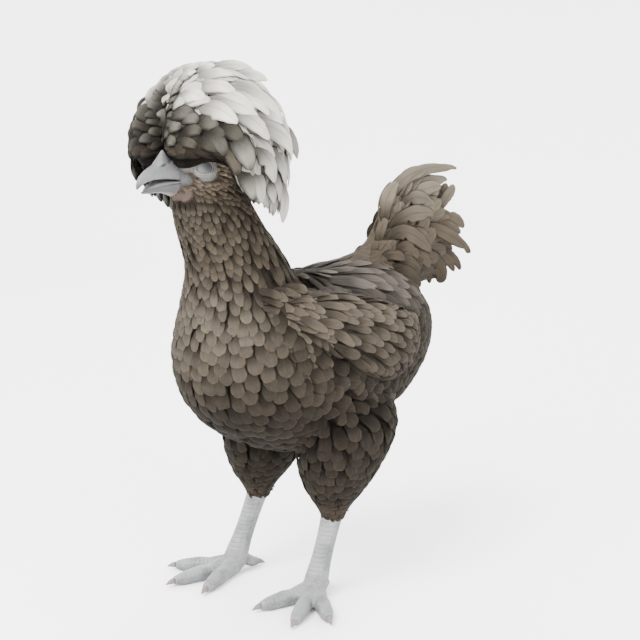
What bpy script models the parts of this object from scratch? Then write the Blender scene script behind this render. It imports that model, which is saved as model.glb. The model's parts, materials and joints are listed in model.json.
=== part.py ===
"""Crested hen of the Polish breed, a still model at life size.

The bird faces -Y and stands on the floor at Z = 0, with +X to its own left. Sizes are in metres.
The body is lofted whole and parted with thin flat cuts, and the legs and wings are cut to lie
against it. Crest, wings and tail are built vane by vane, each vane rooted in its node's core.
"""

import math
from collections import namedtuple

import bmesh
import bpy
import numpy as np
from mathutils import Vector
from mathutils.bvhtree import BVHTree

# Driving sizes
GAP = 0.0003                    # between two nodes that touch
ORIGIN = np.array((-0.0036, 0.0400, 0.0))   # middle of the bird's footprint, from the hip line
BODY_RINGS = 30
BODY_SIDES = 28                 # round the trunk
HEAD_RINGS = 12
HEAD_SIDES = 18
THIGH_RINGS = 12
THIGH_SIDES = 16
LIMB_SIDES = 10
BILL_SIDES = 14
BEYOND = 0.6                    # size of a block that cuts away one side of a plane
VANE_STEPS = (0.0, 0.24, 0.56, 0.86, 1.0)      # a vane's points, as shares of its length

Station = namedtuple("Station", "y z lean half_width above below")
LegStation = namedtuple("LegStation", "x y z half_width half_length")

# Trunk from the rump forward through the breast and up the neck. A station's lean is the
# direction of travel, 0 forward and 90 upward, and above is on its back side.
TRUNK = (
    Station(0.155, 0.219, -20, 0.008, 0.008, 0.010),
    Station(0.149, 0.217, -18, 0.024, 0.020, 0.028),
    Station(0.124, 0.212, -14, 0.044, 0.047, 0.050),
    Station(0.090, 0.204, -7, 0.058, 0.064, 0.068),
    Station(0.048, 0.196, -3, 0.066, 0.070, 0.078),
    Station(0.008, 0.193, 4, 0.069, 0.072, 0.0765),
    Station(-0.022, 0.198, 18, 0.069, 0.067, 0.0720),
    Station(-0.040, 0.212, 40, 0.065, 0.058, 0.0695),
    Station(-0.046, 0.231, 60, 0.057, 0.050, 0.0615),
    Station(-0.050, 0.252, 72, 0.046, 0.045, 0.047),
    Station(-0.056, 0.277, 76, 0.036, 0.038, 0.036),
    Station(-0.066, 0.297, 72, 0.031, 0.033, 0.032),
    Station(-0.077, 0.320, 68, 0.027, 0.029, 0.029),
    Station(-0.086, 0.342, 66, 0.021, 0.024, 0.022),
)
# Head from the back of the skull forward to the root of the bill.
HEAD = (
    Station(-0.055, 0.347, 0, 0.008, 0.008, 0.008),
    Station(-0.060, 0.346, 0, 0.0150, 0.0140, 0.0150),
    Station(-0.074, 0.345, 0, 0.0200, 0.0190, 0.0215),
    Station(-0.090, 0.345, 0, 0.0200, 0.0195, 0.0225),
    Station(-0.103, 0.344, 0, 0.0165, 0.0180, 0.0195),
    Station(-0.112, 0.343, 0, 0.0125, 0.0140, 0.0150),
    Station(-0.119, 0.342, 0, 0.0105, 0.0110, 0.0110),
)
NECK_ROOT = ((0, -0.050, 0.257), (0, -0.30, 0.954))      # a point and the way up the neck
THROAT = ((0, -0.105, 0.318), (0, -0.36, 0.93))          # between the neck and the face
CROWN = ((0, -0.085, 0.357), (0, 0.0, 1.0))              # between the head and its crest
BILL_ROOT = ((0, -0.1085, 0.342), (0, -1.0, 0.0))

# Bill
BILL_UPPER = (
    Station(-0.1040, 0.3395, 0, 0.0135, 0.0145, 0.0008),
    Station(-0.1120, 0.3402, 0, 0.0122, 0.0135, 0.0010),
    Station(-0.1190, 0.3410, 0, 0.0100, 0.0118, 0.0012),
    Station(-0.1260, 0.3411, -6, 0.0075, 0.0093, 0.0012),
    Station(-0.1330, 0.3400, -14, 0.0050, 0.0065, 0.0012),
    Station(-0.1385, 0.3370, -38, 0.0026, 0.0036, 0.0012),
    Station(-0.1412, 0.3335, -62, 0.0006, 0.0008, 0.0006),
)
BILL_LOWER = (
    Station(-0.1040, 0.3373, 0, 0.0130, 0.0006, 0.0125),
    Station(-0.1120, 0.3370, 0, 0.0112, 0.0006, 0.0092),
    Station(-0.1190, 0.3362, 0, 0.0084, 0.0006, 0.0062),
    Station(-0.1270, 0.3345, 0, 0.0056, 0.0006, 0.0040),
    Station(-0.1335, 0.3325, 0, 0.0032, 0.0006, 0.0024),
    Station(-0.1375, 0.3312, 0, 0.0008, 0.0005, 0.0008),
)
TONGUE = (
    Station(-0.1060, 0.3385, 0, 0.0030, 0.0004, 0.0003),
    Station(-0.1200, 0.3382, 0, 0.0034, 0.0008, 0.0006),
    Station(-0.1270, 0.3368, 0, 0.0022, 0.0008, 0.0005),
    Station(-0.1300, 0.3360, 0, 0.0006, 0.0004, 0.0003),
)
KNOB_PEAK = (0, -0.1185, 0.3605)    # the raised knob over the nostrils
KNOB_FOOT = (0, -0.1185, 0.3475)
KNOB_HALF_WIDTH = 0.0075
KNOB_HALF_LENGTH = 0.0095
NOSTRIL = (0.0078, -0.1215, 0.3500)
NOSTRIL_RADII = (0.0022, 0.0021, 0.0012)

# Face
EYE = (0.0128, -0.0935, 0.3465)
EYE_RADIUS = 0.0082
LID_OFFSET = 0.0052             # of the lids' rim from the eye's middle, outward
LID_TURN = 18                   # degrees that the eye looks forward
LID_RADIUS = 0.0080
LID_THICKNESS = 0.0018
EAR = (0.0188, -0.0735, 0.3400)
EAR_RADII = (0.0028, 0.0048, 0.0042)
WATTLE = (0.0058, -0.1040, 0.3270)
WATTLE_RADII = (0.0038, 0.0044, 0.0056)

# Crest, on a round form whose middle lies over the head. Its vanes part over the bill.
CREST_CENTRE = (0.0, -0.076, 0.356)
CREST_RADII = (0.0500, 0.0510, 0.0545)
CREST_CORE = 0.64               # the core's radii, as a share of the form's
CREST_PINCH = 0.24              # how much flatter the form is over the bill than behind
CREST_PINCH_POWER = 8           # the higher, the narrower that flat place
CREST_DRAW = 0.15               # how far the hanging fringe draws in, as a share of its drop
CREST_LIFT = 0.0150             # how far the tips stand out from the form
CREST_VANES = 74                # places for tips, spread evenly by turning on from one to the next
CREST_NEXT = 137.5              # degrees from one tip's azimuth to the next one's
CREST_SPAN = (0.95, -0.66)      # highest and lowest tips, as shares of the form's height
CREST_PARTING = 60              # degrees forward from upright, down to which it runs over the bill
CREST_REACH = 54                # degrees from a vane's root to its tip
CREST_HOLD = 66                 # turn by which every root is in the core, in degrees
CREST_SPREAD = 1.08             # and at most this share of the way back to the parting
CREST_BARE = 18                 # no tip lies this near the parting, in degrees
CREST_SHORT = 9                 # a tip this far below the fringe is left out, in degrees
CREST_STEPS = (0.0, 0.30, 0.74, 1.0)       # a crest vane's points, as shares of its length
CREST_RISE = (0.47, 0.95)       # share of the form at a vane's root and at its next point
CREST_WIDTH = 0.0205
CREST_THICKNESS = 0.0010
FRINGE_TURNS = (0, 62, 77, 110, 180)     # round the head from the bill, in degrees
FRINGE_LEVELS = (0.3590, 0.3580, 0.3330, 0.3130, 0.3200)
FRINGE_FRONT = (-42, -20, 20, 42)        # vanes in one row over the bill
FRINGE_LONGEST = (124, 0.3035)  # one long vane hangs there, down to this level

# Tail: fans of vanes on both sides of the middle plane, from the innermost out.
TAIL_BASE = (0.0, 0.110, 0.244)
TAIL_CORE_TIP = (0.0, 0.147, 0.281)
TAIL_CORE_RADII = (0.026, 0.025, 0.020, 0.010)
TailFan = namedtuple("TailFan", "count x_root x_tip top_start top_end low_start low_end long_top long_low")
TAIL_FANS = (
    TailFan(5, 0.0020, 0.0030, 84, -26, 19, -4, 0.148, 0.112),
    TailFan(4, 0.0075, 0.0120, 75, -16, 15, -8, 0.130, 0.098),
    TailFan(3, 0.0130, 0.0200, 64, -2, 9, -14, 0.106, 0.080),
    TailFan(3, 0.0185, 0.0270, 56, 6, 3, -18, 0.078, 0.062),
)
TAIL_BEND = 1.9                 # the higher, the more of a vane's bend lies near its tip
TAIL_WIDTH = 0.0215
TAIL_THICKNESS = 0.0010
TAIL_STAGGER = 0.0017           # each of three next vanes in a fan lies this much farther out

# Wing: rows of vanes on a plate that lies on the trunk's side, from the shoulder back
WingRow = namedtuple("WingRow", "count y z_top z_low long_top long_low droop_top droop_low width")
WING_PLATE = ((-0.038, 0.248), (-0.008, 0.247), (0.036, 0.238), (0.072, 0.226), (0.068, 0.190),
              (0.036, 0.180), (-0.002, 0.204), (-0.034, 0.222))      # its outline from the side
WING_PLATE_THICKNESS = 0.0045
WING_PLATE_POINTS = 14
WING_ROWS = (
    WingRow(5, 0.038, 0.234, 0.182, 0.067, 0.049, -10, -34, 0.0145),
    WingRow(5, 0.014, 0.240, 0.194, 0.052, 0.042, -9, -33, 0.0135),
    WingRow(4, -0.009, 0.244, 0.208, 0.042, 0.036, -8, -30, 0.0130),
    WingRow(3, -0.030, 0.246, 0.222, 0.036, 0.032, -8, -28, 0.0125),
)
WING_PRIMARIES = WingRow(3, 0.032, 0.184, 0.172, 0.060, 0.048, -34, -36, 0.0100)
WING_LIFTS = (0.0022, 0.0070, 0.0085, 0.0103, 0.0120)     # over the trunk, along a vane
WING_STAGGER = 0.0017           # every second vane of a row lies this much farther out
WING_THICKNESS = 0.0009

# Legs: the feathered thigh tapers to the hock, where the bare shank comes out.
THIGH = (
    LegStation(-0.012, 0.0200, 0.182, 0.012, 0.028),
    LegStation(-0.003, 0.0190, 0.165, 0.0265, 0.043),
    LegStation(0.001, 0.0160, 0.142, 0.0335, 0.047),
    LegStation(0.000, 0.0110, 0.121, 0.0335, 0.042),
    LegStation(0.000, 0.0060, 0.103, 0.0285, 0.0340),
    LegStation(0.000, 0.0025, 0.088, 0.0208, 0.0245),
    LegStation(0.000, 0.0005, 0.077, 0.0135, 0.0150),
    LegStation(0.000, 0.0000, 0.0700, 0.0105, 0.0115),
)
HOCK_LEFT = (0.0420, 0.0110)
HOCK_RIGHT = (-0.0410, 0.0040)
SOLE_LEFT = (0.0362, -0.0045)
SOLE_RIGHT = (-0.0500, -0.0175)
HOCK_HEIGHT = 0.0700
SHANK_RADII = (0.0095, 0.0086, 0.0082, 0.0082, 0.0086, 0.0098, 0.0104)
ANKLE_HEIGHT = 0.0085
TOE_TURNS = {                   # degrees outward from straight ahead, or behind for the hind toe
    "left": {"inner": -12, "middle": 30, "outer": 59, "hind": 22},
    "right": {"inner": -23, "middle": 11, "outer": 48, "hind": 11},
}
TOE_REACHES = {"inner": 0.0500, "middle": 0.0565, "outer": 0.0500}
TOE_RADII = (0.0092, 0.0082, 0.0074, 0.0065, 0.0068, 0.0062, 0.0056, 0.0034)
TOE_SINK = 0.86                 # a toe's middle above the floor, as a share of its radius
HIND_TOE_ROOT = (0.002, 0.0200)  # behind the foot's middle, and above the floor
HIND_TOE_TIP = (0.0235, 0.0042)
HIND_TOE_RADII = (0.0058, 0.0056, 0.0052, 0.0048, 0.0034)
CLAW_RADII = (0.0026, 0.0024, 0.0018, 0.0011, 0.0003)
CLAW_LENGTH = 0.0075
CLAW_DROOP = 0.0020
CLAW_SIDES = 8


def clear_scene():
    """Empties the scene."""
    for obj in list(bpy.data.objects):
        bpy.data.objects.remove(obj, do_unlink=True)


def material(name, colour, roughness):
    """A plain finish for one kind of surface."""
    made = bpy.data.materials.new(name)
    made.use_nodes = True
    shader = made.node_tree.nodes["Principled BSDF"]
    shader.inputs["Base Color"].default_value = (*colour, 1.0)
    shader.inputs["Roughness"].default_value = roughness
    shader.inputs["Metallic"].default_value = 0.0
    return made


def solid(name, points, faces, finish=None):
    """An object from points and faces, moved so that the footprint's middle is the origin."""
    mesh = bpy.data.meshes.new(name)
    mesh.from_pydata([tuple(p) for p in np.asarray(points) - ORIGIN], [], faces)
    mesh.validate()
    built = bmesh.new()
    built.from_mesh(mesh)
    bmesh.ops.recalc_face_normals(built, faces=built.faces)
    built.to_mesh(mesh)
    built.free()
    if finish:
        mesh.materials.append(finish)
    obj = bpy.data.objects.new(name, mesh)
    bpy.context.scene.collection.objects.link(obj)
    return obj


def smooth_rows(rows, count):
    """Catmull-Rom through the rows of a table, evened out to this many rows."""
    rows = np.asarray(rows, float)
    last = len(rows) - 1
    at = np.linspace(0, last, count)
    base = np.minimum(at.astype(int), last - 1)
    t = (at - base)[:, None]
    p0, p1 = rows[np.maximum(base - 1, 0)], rows[base]
    p2, p3 = rows[base + 1], rows[np.minimum(base + 2, last)]
    return 0.5 * (
        2 * p1 + (p2 - p0) * t + (2 * p0 - 5 * p1 + 4 * p2 - p3) * t**2 + (3 * p1 - p0 - 3 * p2 + p3) * t**3
    )


def tube_faces(rings, sides):
    """Quads along a tube of rings, and one flat face at each end."""
    faces = []
    for k in range(rings - 1):
        for s in range(sides):
            t = (s + 1) % sides
            faces.append((k * sides + s, k * sides + t, (k + 1) * sides + t, (k + 1) * sides + s))
    faces.append(tuple(range(sides))[::-1])
    faces.append(tuple((rings - 1) * sides + s for s in range(sides)))
    return faces


def body_rings(stations, count, sides, power=2.0):
    """Rings of a bilateral loft: half-width across X, with its own reach above and below."""
    angle = 2 * math.pi * np.arange(sides) / sides
    across = np.sign(np.cos(angle)) * np.abs(np.cos(angle)) ** (2 / power)
    upward = np.sign(np.sin(angle)) * np.abs(np.sin(angle)) ** (2 / power)
    rings = []
    for y, z, lean, half_width, above, below in smooth_rows(stations, count):
        up = np.array((0, math.sin(math.radians(lean)), math.cos(math.radians(lean))))
        reach = np.where(upward > 0, above, below) * upward
        ring = np.array((0, y, z)) + np.outer(across * half_width, (1, 0, 0)) + np.outer(reach, up)
        rings.append(ring)
    return np.concatenate(rings)


def body_loft(name, stations, count, sides, power=2.0, finish=None):
    """A closed loft through body stations."""
    return solid(name, body_rings(stations, count, sides, power), tube_faces(count, sides), finish)


def swept(name, path, radii, sides, finish=None, flatten=1.0):
    """A closed round tube along a path, with a radius at each point of it."""
    path, radii = np.asarray(path, float), np.asarray(radii, float)
    along = np.gradient(path, axis=0)
    along /= np.linalg.norm(along, axis=1)[:, None]
    side = np.cross(along, (0, 0, 1.0))
    weak = np.linalg.norm(side, axis=1) < 0.5
    side[weak] = np.cross(along[weak], (0, -1.0, 0))
    side /= np.linalg.norm(side, axis=1)[:, None]
    up = np.cross(side, along)
    angle = 2 * math.pi * (np.arange(sides) + 0.5) / sides
    rings = [
        p + r * (np.outer(np.cos(angle), s) + flatten * np.outer(np.sin(angle), u))
        for p, r, s, u in zip(path, radii, side, up)
    ]
    return solid(name, np.concatenate(rings), tube_faces(len(path), sides), finish)


def ellipsoid(name, centre, radii, segments=16, rings=10, finish=None):
    """A closed ellipsoid with its axes along X, Y and Z."""
    built = bmesh.new()
    bmesh.ops.create_uvsphere(built, u_segments=segments, v_segments=rings, radius=1.0)
    points = np.array([v.co[:] for v in built.verts]) * radii + centre
    faces = [tuple(v.index for v in f.verts) for f in built.faces]
    built.free()
    return solid(name, points, faces, finish)


def rim(name, centre, axis, radius, thickness, segments=14, sides=5):
    """A closed ring about a level axis, such as the lids round an eye."""
    points, faces = [], []
    level = np.cross((0, 0, 1), axis)
    for k in range(segments):
        a = 2 * math.pi * k / segments
        out = level * math.cos(a) + np.array((0, 0, 1)) * math.sin(a)
        for s in range(sides):
            b = 2 * math.pi * s / sides
            across, off = radius + thickness * math.cos(b), thickness * math.sin(b)
            points.append(centre + out * across + axis * off)
            k2, s2 = (k + 1) % segments, (s + 1) % sides
            faces.append((k * sides + s, k * sides + s2, k2 * sides + s2, k2 * sides + s))
    return solid(name, points, faces)


def beyond(plane, clearance=0.0, size=BEYOND):
    """A block that fills the side of a plane that its normal points to."""
    point, normal = (np.asarray(v, float) for v in plane)
    normal = normal / np.linalg.norm(normal)
    built = bmesh.new()
    bmesh.ops.create_cube(built, size=size)
    turn = Vector((0, 0, 1)).rotation_difference(Vector(normal)).to_matrix()
    centre = point + normal * (size / 2 + clearance)
    points = [np.array(turn @ v.co) + centre for v in built.verts]
    faces = [tuple(v.index for v in f.verts) for f in built.faces]
    built.free()
    return solid("block", points, faces)


def combine(obj, others, operation):
    """Joins or cuts an object with others in one Boolean, applied, and removes the others."""
    group = bpy.data.collections.new("pieces")
    bpy.context.scene.collection.children.link(group)
    for other in others:
        group.objects.link(other)
    step = obj.modifiers.new("combine", "BOOLEAN")
    step.operand_type = "COLLECTION"
    step.collection = group
    step.operation = operation
    step.solver = "MANIFOLD"
    graph = bpy.context.evaluated_depsgraph_get()
    graph.update()
    made = bpy.data.meshes.new_from_object(obj.evaluated_get(graph))
    obj.modifiers.remove(step)
    obj.data = made
    for other in others:
        bpy.data.objects.remove(other, do_unlink=True)
    bpy.data.collections.remove(group)
    return obj


def keep_largest(obj):
    """Leaves only the largest closed surface of an object."""
    built = bmesh.new()
    built.from_mesh(obj.data)
    bmesh.ops.triangulate(built, faces=built.faces)
    bmesh.ops.dissolve_degenerate(built, dist=1e-7, edges=built.edges)
    left, shells = set(built.faces), []
    while left:
        shell, front = set(), [left.pop()]
        while front:
            face = front.pop()
            shell.add(face)
            for edge in face.edges:
                for near in edge.link_faces:
                    if near in left:
                        left.discard(near)
                        front.append(near)
        shells.append(shell)
    if len(shells) > 1:
        def volume(shell):
            corners = np.array([[v.co[:] for v in f.verts[:3]] for f in shell])
            return abs(np.linalg.det(corners).sum())
        largest = max(shells, key=volume)
        drop = [f for shell in shells if shell is not largest for f in shell]
        bmesh.ops.delete(built, geom=drop, context="FACES")
        loose = [v for v in built.verts if not v.link_faces]
        bmesh.ops.delete(built, geom=loose, context="VERTS")
    built.to_mesh(obj.data)
    built.free()
    return obj


def copy_of(obj, name, grown=0.0):
    """A copy of an object, with its skin moved outward by an amount."""
    mesh = obj.data.copy()
    made = bpy.data.objects.new(name, mesh)
    bpy.context.scene.collection.objects.link(made)
    if grown:
        built = bmesh.new()
        built.from_mesh(mesh)
        built.normal_update()
        places = [v.co + v.normal * grown for v in built.verts]
        for vert, place in zip(built.verts, places):
            vert.co = place
        built.to_mesh(mesh)
        built.free()
    return made


def finish_node(obj, name, finish):
    """Names a finished node, keeps its largest surface, and gives it its one material."""
    keep_largest(obj)
    obj.name = name
    obj.data.materials.clear()
    obj.data.materials.append(finish)
    obj.data.shade_smooth()
    obj.data.set_sharp_from_angle(angle=math.radians(35))
    return obj


def part_of(whole, name, planes):
    """The part of a whole that lies behind every one of these planes."""
    made = copy_of(whole, name)
    for plane, clearance in planes:
        combine(made, [beyond(plane, clearance)], "DIFFERENCE")
    return made


def turned(plane):
    """The same plane facing the other way."""
    return plane[0], tuple(-c for c in plane[1])


def vane(path, normals, width, thickness, camber, root_share, widest, blunt, steps=VANE_STEPS):
    """One feather: a thin closed blade along a path, narrow at its root, widest past its middle.

    The path's points lie at these steps, as shares of the length. The outline is a rising sine
    from the root to the widest place and an ellipse from there to the tip. Each cross-section has
    six points, its middle raised by the camber's share of the width.
    """
    path, normals = np.asarray(path, float), np.asarray(normals, float)
    along = np.gradient(path, axis=0)
    along /= np.linalg.norm(along, axis=1)[:, None]
    normals = normals - along * (normals * along).sum(1)[:, None]
    normals /= np.linalg.norm(normals, axis=1)[:, None]
    side = np.cross(along, normals)
    t = np.array(steps)
    rise = root_share + (1 - root_share) * np.sin(0.5 * math.pi * np.clip(t / widest, 0, 1))
    fall = np.clip(1 - (np.clip(t - widest, 0, 1) / (1 - widest)) ** 2, 0, 1) ** blunt
    half = 0.5 * width * rise * fall
    thick = thickness * (1 - 0.35 * t)
    points = []
    for p, s, n, h, d in zip(path[:-1], side[:-1], normals[:-1], half[:-1], thick[:-1]):
        bulge = camber * h * 2
        points += [p - s * h, p + n * bulge, p + s * h,
                   p + s * h - n * d, p + n * (bulge - d), p - s * h - n * d]
    points.append(path[-1])
    rings, faces = len(path) - 1, []
    for k in range(rings - 1):
        for s in range(6):
            a, b = k * 6 + s, k * 6 + (s + 1) % 6
            c, d = (k + 1) * 6 + (s + 1) % 6, (k + 1) * 6 + s
            # the same diagonal above and below, so that the two faces never cross
            faces += [(a, b, d), (b, c, d)] if s in (0, 4) else [(a, b, c), (a, c, d)]
    faces += [((rings - 1) * 6 + s, (rings - 1) * 6 + (s + 1) % 6, rings * 6) for s in range(6)]
    faces += [(0, 5, 4), (0, 4, 1), (1, 4, 3), (1, 3, 2)]
    return solid("vane", points, faces)


def crest_place(turn, azimuth, share):
    """A place on the crest's form, from its turn off the upright and its azimuth from the bill.

    Share scales the form. Below its widest level the form hangs down and draws in a little.
    """
    level = math.cos(turn)
    across = math.sin(turn) if level > 0 else 1 + CREST_DRAW * level
    out = np.array((across * math.sin(azimuth), -across * math.cos(azimuth), level))
    grown = np.array(CREST_RADII) * share
    if level < 0:
        grown[2] = CREST_RADII[2]
    grown[:2] *= 1 - CREST_PINCH * max(0.0, math.cos(azimuth)) ** CREST_PINCH_POWER * across**2
    return np.array(CREST_CENTRE) + out * grown


def crest_turns(way):
    """A direction's turn off the upright and its azimuth from the bill."""
    way = way / np.linalg.norm(way)
    return math.acos(np.clip(way[2], -1, 1)), math.atan2(way[0], -way[1])


def crest_way(turn, azimuth):
    """The direction with this turn off the upright and this azimuth from the bill."""
    across = math.sin(turn)
    return np.array((across * math.sin(azimuth), -across * math.cos(azimuth), math.cos(turn)))


def between(start, end, share):
    """The direction at this share of the way along the arc between two directions."""
    angle = math.acos(np.clip(start @ end, -1, 1))
    return (math.sin((1 - share) * angle) * start + math.sin(share * angle) * end) / math.sin(angle)


def fringe_turn(level):
    """The turn off the upright at which the form reaches down to this level."""
    return math.acos(np.clip((level - CREST_CENTRE[2]) / CREST_RADII[2], -1, 1))


def crest_vane(tip_turn, azimuth, rng):
    """One crest vane to this tip, from a root nearer the parting, or none where it would be too short."""
    tip = crest_way(tip_turn, azimuth)
    tilt = math.atan2(max(0.0, -tip[1]), max(0.0, tip[2]))
    pole = crest_way(min(tilt, math.radians(CREST_PARTING) * max(0.0, math.cos(azimuth))), 0.0)
    off = math.acos(np.clip(tip @ pole, -1, 1))
    if off < math.radians(CREST_BARE):
        return None
    reach = max(math.radians(CREST_REACH), tip_turn - math.radians(CREST_HOLD))
    reach = min(reach, CREST_SPREAD * off)
    root = between(tip, pole, reach / off)
    path, normals = [], []
    lift = CREST_LIFT / CREST_RADII[0] * rng.uniform(0.86, 1.06)
    shares = (*CREST_RISE, 1 + 0.75 * lift, 1 + lift)
    for t, share in zip(CREST_STEPS, shares):
        turn, around = crest_turns(between(root, tip, t))
        path.append(crest_place(turn, around, share))
        outward = crest_place(turn, around, 1.0) - CREST_CENTRE
        if turn > math.pi / 2:
            outward[2] = 0
        normals.append(outward)
    width = CREST_WIDTH * rng.uniform(0.92, 1.05)
    return vane(path, normals, width, CREST_THICKNESS, 0.10, 0.25, 0.70, 0.6, CREST_STEPS)


def build_crest(pale):
    """The crest: its vanes part over the bill and hang in a fringe at the sides and behind."""
    rng = np.random.default_rng(7)
    crest = ellipsoid("crest", CREST_CENTRE, np.array(CREST_RADII) * CREST_CORE, 12, 8)
    longest, level = FRINGE_LONGEST
    vanes = [crest_vane(fringe_turn(level), math.radians(longest), rng)]
    for azimuth in FRINGE_FRONT:
        vanes.append(crest_vane(fringe_turn(FRINGE_LEVELS[0]), math.radians(azimuth), rng))
    for k, height in enumerate(np.linspace(*CREST_SPAN, CREST_VANES)):
        azimuth = k * CREST_NEXT % 360
        limit = fringe_turn(np.interp(min(azimuth, 360 - azimuth), FRINGE_TURNS, FRINGE_LEVELS))
        if math.acos(height) < limit + math.radians(CREST_SHORT):
            vanes.append(crest_vane(min(math.acos(height), limit), math.radians(azimuth), rng))
    combine(crest, [made for made in vanes if made], "UNION")
    bill = copy_of(bpy.data.objects["bill_upper"], "against", GAP)
    under = beyond(((0, CREST_CENTRE[1], CROWN[0][2] + GAP), (0, 0, -1)), size=1.3 * CREST_RADII[0])
    combine(crest, [bill, under], "DIFFERENCE")
    finish_node(crest, "crest", pale)


def tail_vane(side, fan, share, out, rng):
    """One tail vane, bent back along its length. Share runs from the top of its fan to the lowest."""
    start = fan.top_start + (fan.low_start - fan.top_start) * share + rng.uniform(-2, 2)
    end = fan.top_end + (fan.low_end - fan.top_end) * share + rng.uniform(-4, 4)
    length = (fan.long_top + (fan.long_low - fan.long_top) * share) * rng.uniform(0.96, 1.03)
    steps = np.array(VANE_STEPS)
    angles = np.radians(start + (end - start) * steps**TAIL_BEND)
    mid = 0.5 * (angles[1:] + angles[:-1])
    runs = np.diff(steps) * length
    y = np.concatenate(([0], np.cumsum(np.cos(mid) * runs)))
    z = np.concatenate(([0], np.cumsum(np.sin(mid) * runs)))
    x = fan.x_root + out + (fan.x_tip - fan.x_root) * steps
    path = np.stack((side * x, TAIL_BASE[1] + y, TAIL_BASE[2] + z), 1)
    normals = np.tile((side * 1.0, -0.10 * math.sin(angles[0]), 0.16), (5, 1))
    return vane(path, normals, TAIL_WIDTH * rng.uniform(0.94, 1.05), TAIL_THICKNESS, 0.02, 0.26, 0.68, 0.5)


def build_tail(feather):
    """The tail, its vanes in fans on a short core."""
    rng = np.random.default_rng(11)
    share = np.linspace(0, 1, len(TAIL_CORE_RADII))[:, None]
    base, tip = np.array(TAIL_BASE), np.array(TAIL_CORE_TIP)
    tail = swept("tail", base + (tip - base) * share, TAIL_CORE_RADII, 14)
    vanes = []
    for fan in TAIL_FANS:
        for side in (1, -1):
            for k in range(fan.count):
                out = TAIL_STAGGER * (k % 3)
                vanes.append(tail_vane(side, fan, k / (fan.count - 1), out, rng))
    combine(tail, vanes, "UNION")
    body = copy_of(bpy.data.objects["torso"], "against", GAP)
    combine(tail, [body], "DIFFERENCE")
    finish_node(tail, "tail", feather)


def on_side(tree, side, y, z, least):
    """The place on the trunk's side at this Y and Z, no nearer the middle plane than least."""
    hit, normal, _, _ = tree.ray_cast(Vector((side * BEYOND, y - ORIGIN[1], z)), Vector((-side, 0, 0)))
    if hit is None or abs(hit[0]) < least:
        return np.array((side * least, y, z)), np.array((side * 1.0, 0, 0.15))
    place = np.array(hit) + ORIGIN
    outward = np.array((normal[0], normal[1] * 0.3, normal[2] * 0.6))
    return place, outward / np.linalg.norm(outward)


def wing_vane(tree, side, root, length, droop, width, extra, rng, blunt=0.5):
    """One wing vane that follows the trunk's side, lifted toward its tip."""
    path, normals = [], []
    droop = math.radians(droop + rng.uniform(-2, 2))
    for t, lift in zip(VANE_STEPS, WING_LIFTS):
        y = root[0] + math.cos(droop) * length * t
        z = root[1] + math.sin(droop) * length * t
        place, outward = on_side(tree, side, y, z, 0.047)
        path.append(place + outward * (lift + extra))
        normals.append(outward)
    return vane(path, normals, width * rng.uniform(0.95, 1.05), WING_THICKNESS, 0.06, 0.45, 0.6, blunt)


def wing_plate(tree, side):
    """The wing's core, a plate on the trunk's side with the outline that the sizes give."""
    outline = smooth_rows(WING_PLATE + WING_PLATE[:1], WING_PLATE_POINTS + 1)[:-1]
    middle = outline.mean(axis=0)
    rings = [middle + (outline - middle) * share for share in (1.0, 0.5)]
    points, count = [], len(outline)
    for deep in (WING_PLATE_THICKNESS, -0.006):
        for ring in rings:
            for y, z in ring:
                place, outward = on_side(tree, side, y, z, 0.040)
                points.append(place + outward * deep)
    faces = []
    for outer, inner in ((0, 1), (2, 3), (0, 2)):
        for k in range(count):
            after = (k + 1) % count
            corners = (outer * count + k, outer * count + after, inner * count + after, inner * count + k)
            faces.append(corners)
    faces += [tuple(ring * count + k for k in range(count)) for ring in (1, 3)]
    return solid("wing", points, faces)


def build_wings(feather):
    """Both folded wings, their vanes in rows from the shoulder back."""
    body = bpy.data.objects["torso"]
    tree = BVHTree.FromObject(body, bpy.context.evaluated_depsgraph_get())
    for word, side in (("left", 1), ("right", -1)):
        rng = np.random.default_rng(17 + side)
        wing = wing_plate(tree, side)
        vanes = []
        for number, row in enumerate((WING_PRIMARIES,) + WING_ROWS):
            for k in range(row.count):
                share = k / (row.count - 1)
                root = (row.y + rng.uniform(-0.002, 0.002), row.z_top + (row.z_low - row.z_top) * share)
                extra = WING_STAGGER * (k % 2) - (0.0030 if number == 0 else 0)
                droop = row.droop_top + (row.droop_low - row.droop_top) * share
                length = row.long_top + (row.long_low - row.long_top) * share
                blunt = 0.9 if number == 0 else 0.5
                vanes.append(wing_vane(tree, side, root, length, droop, row.width, extra, rng, blunt))
        combine(wing, vanes, "UNION")
        others = [bpy.data.objects[n] for n in ("torso", "neck", "tail", "thigh_" + word)]
        combine(wing, [copy_of(o, "against", GAP) for o in others], "DIFFERENCE")
        finish_node(wing, "wing_" + word, feather)


def main():
    """Builds the bird."""
    clear_scene()
    feather = material("feather_taupe", (0.18, 0.155, 0.13), 0.75)
    pale = material("feather_cream", (0.62, 0.60, 0.55), 0.75)
    horn = material("horn_grey", (0.45, 0.46, 0.47), 0.45)
    scale = material("scale_grey", (0.50, 0.50, 0.50), 0.6)
    flesh = material("face_skin", (0.30, 0.24, 0.20), 0.65)
    glass = material("eye", (0.35, 0.37, 0.38), 0.2)
    build_body(feather, flesh, pale)
    build_bill(horn, flesh)
    build_eyes(glass)
    build_legs(feather, scale, horn)
    build_crest(pale)
    build_tail(feather)
    build_wings(feather)


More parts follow.
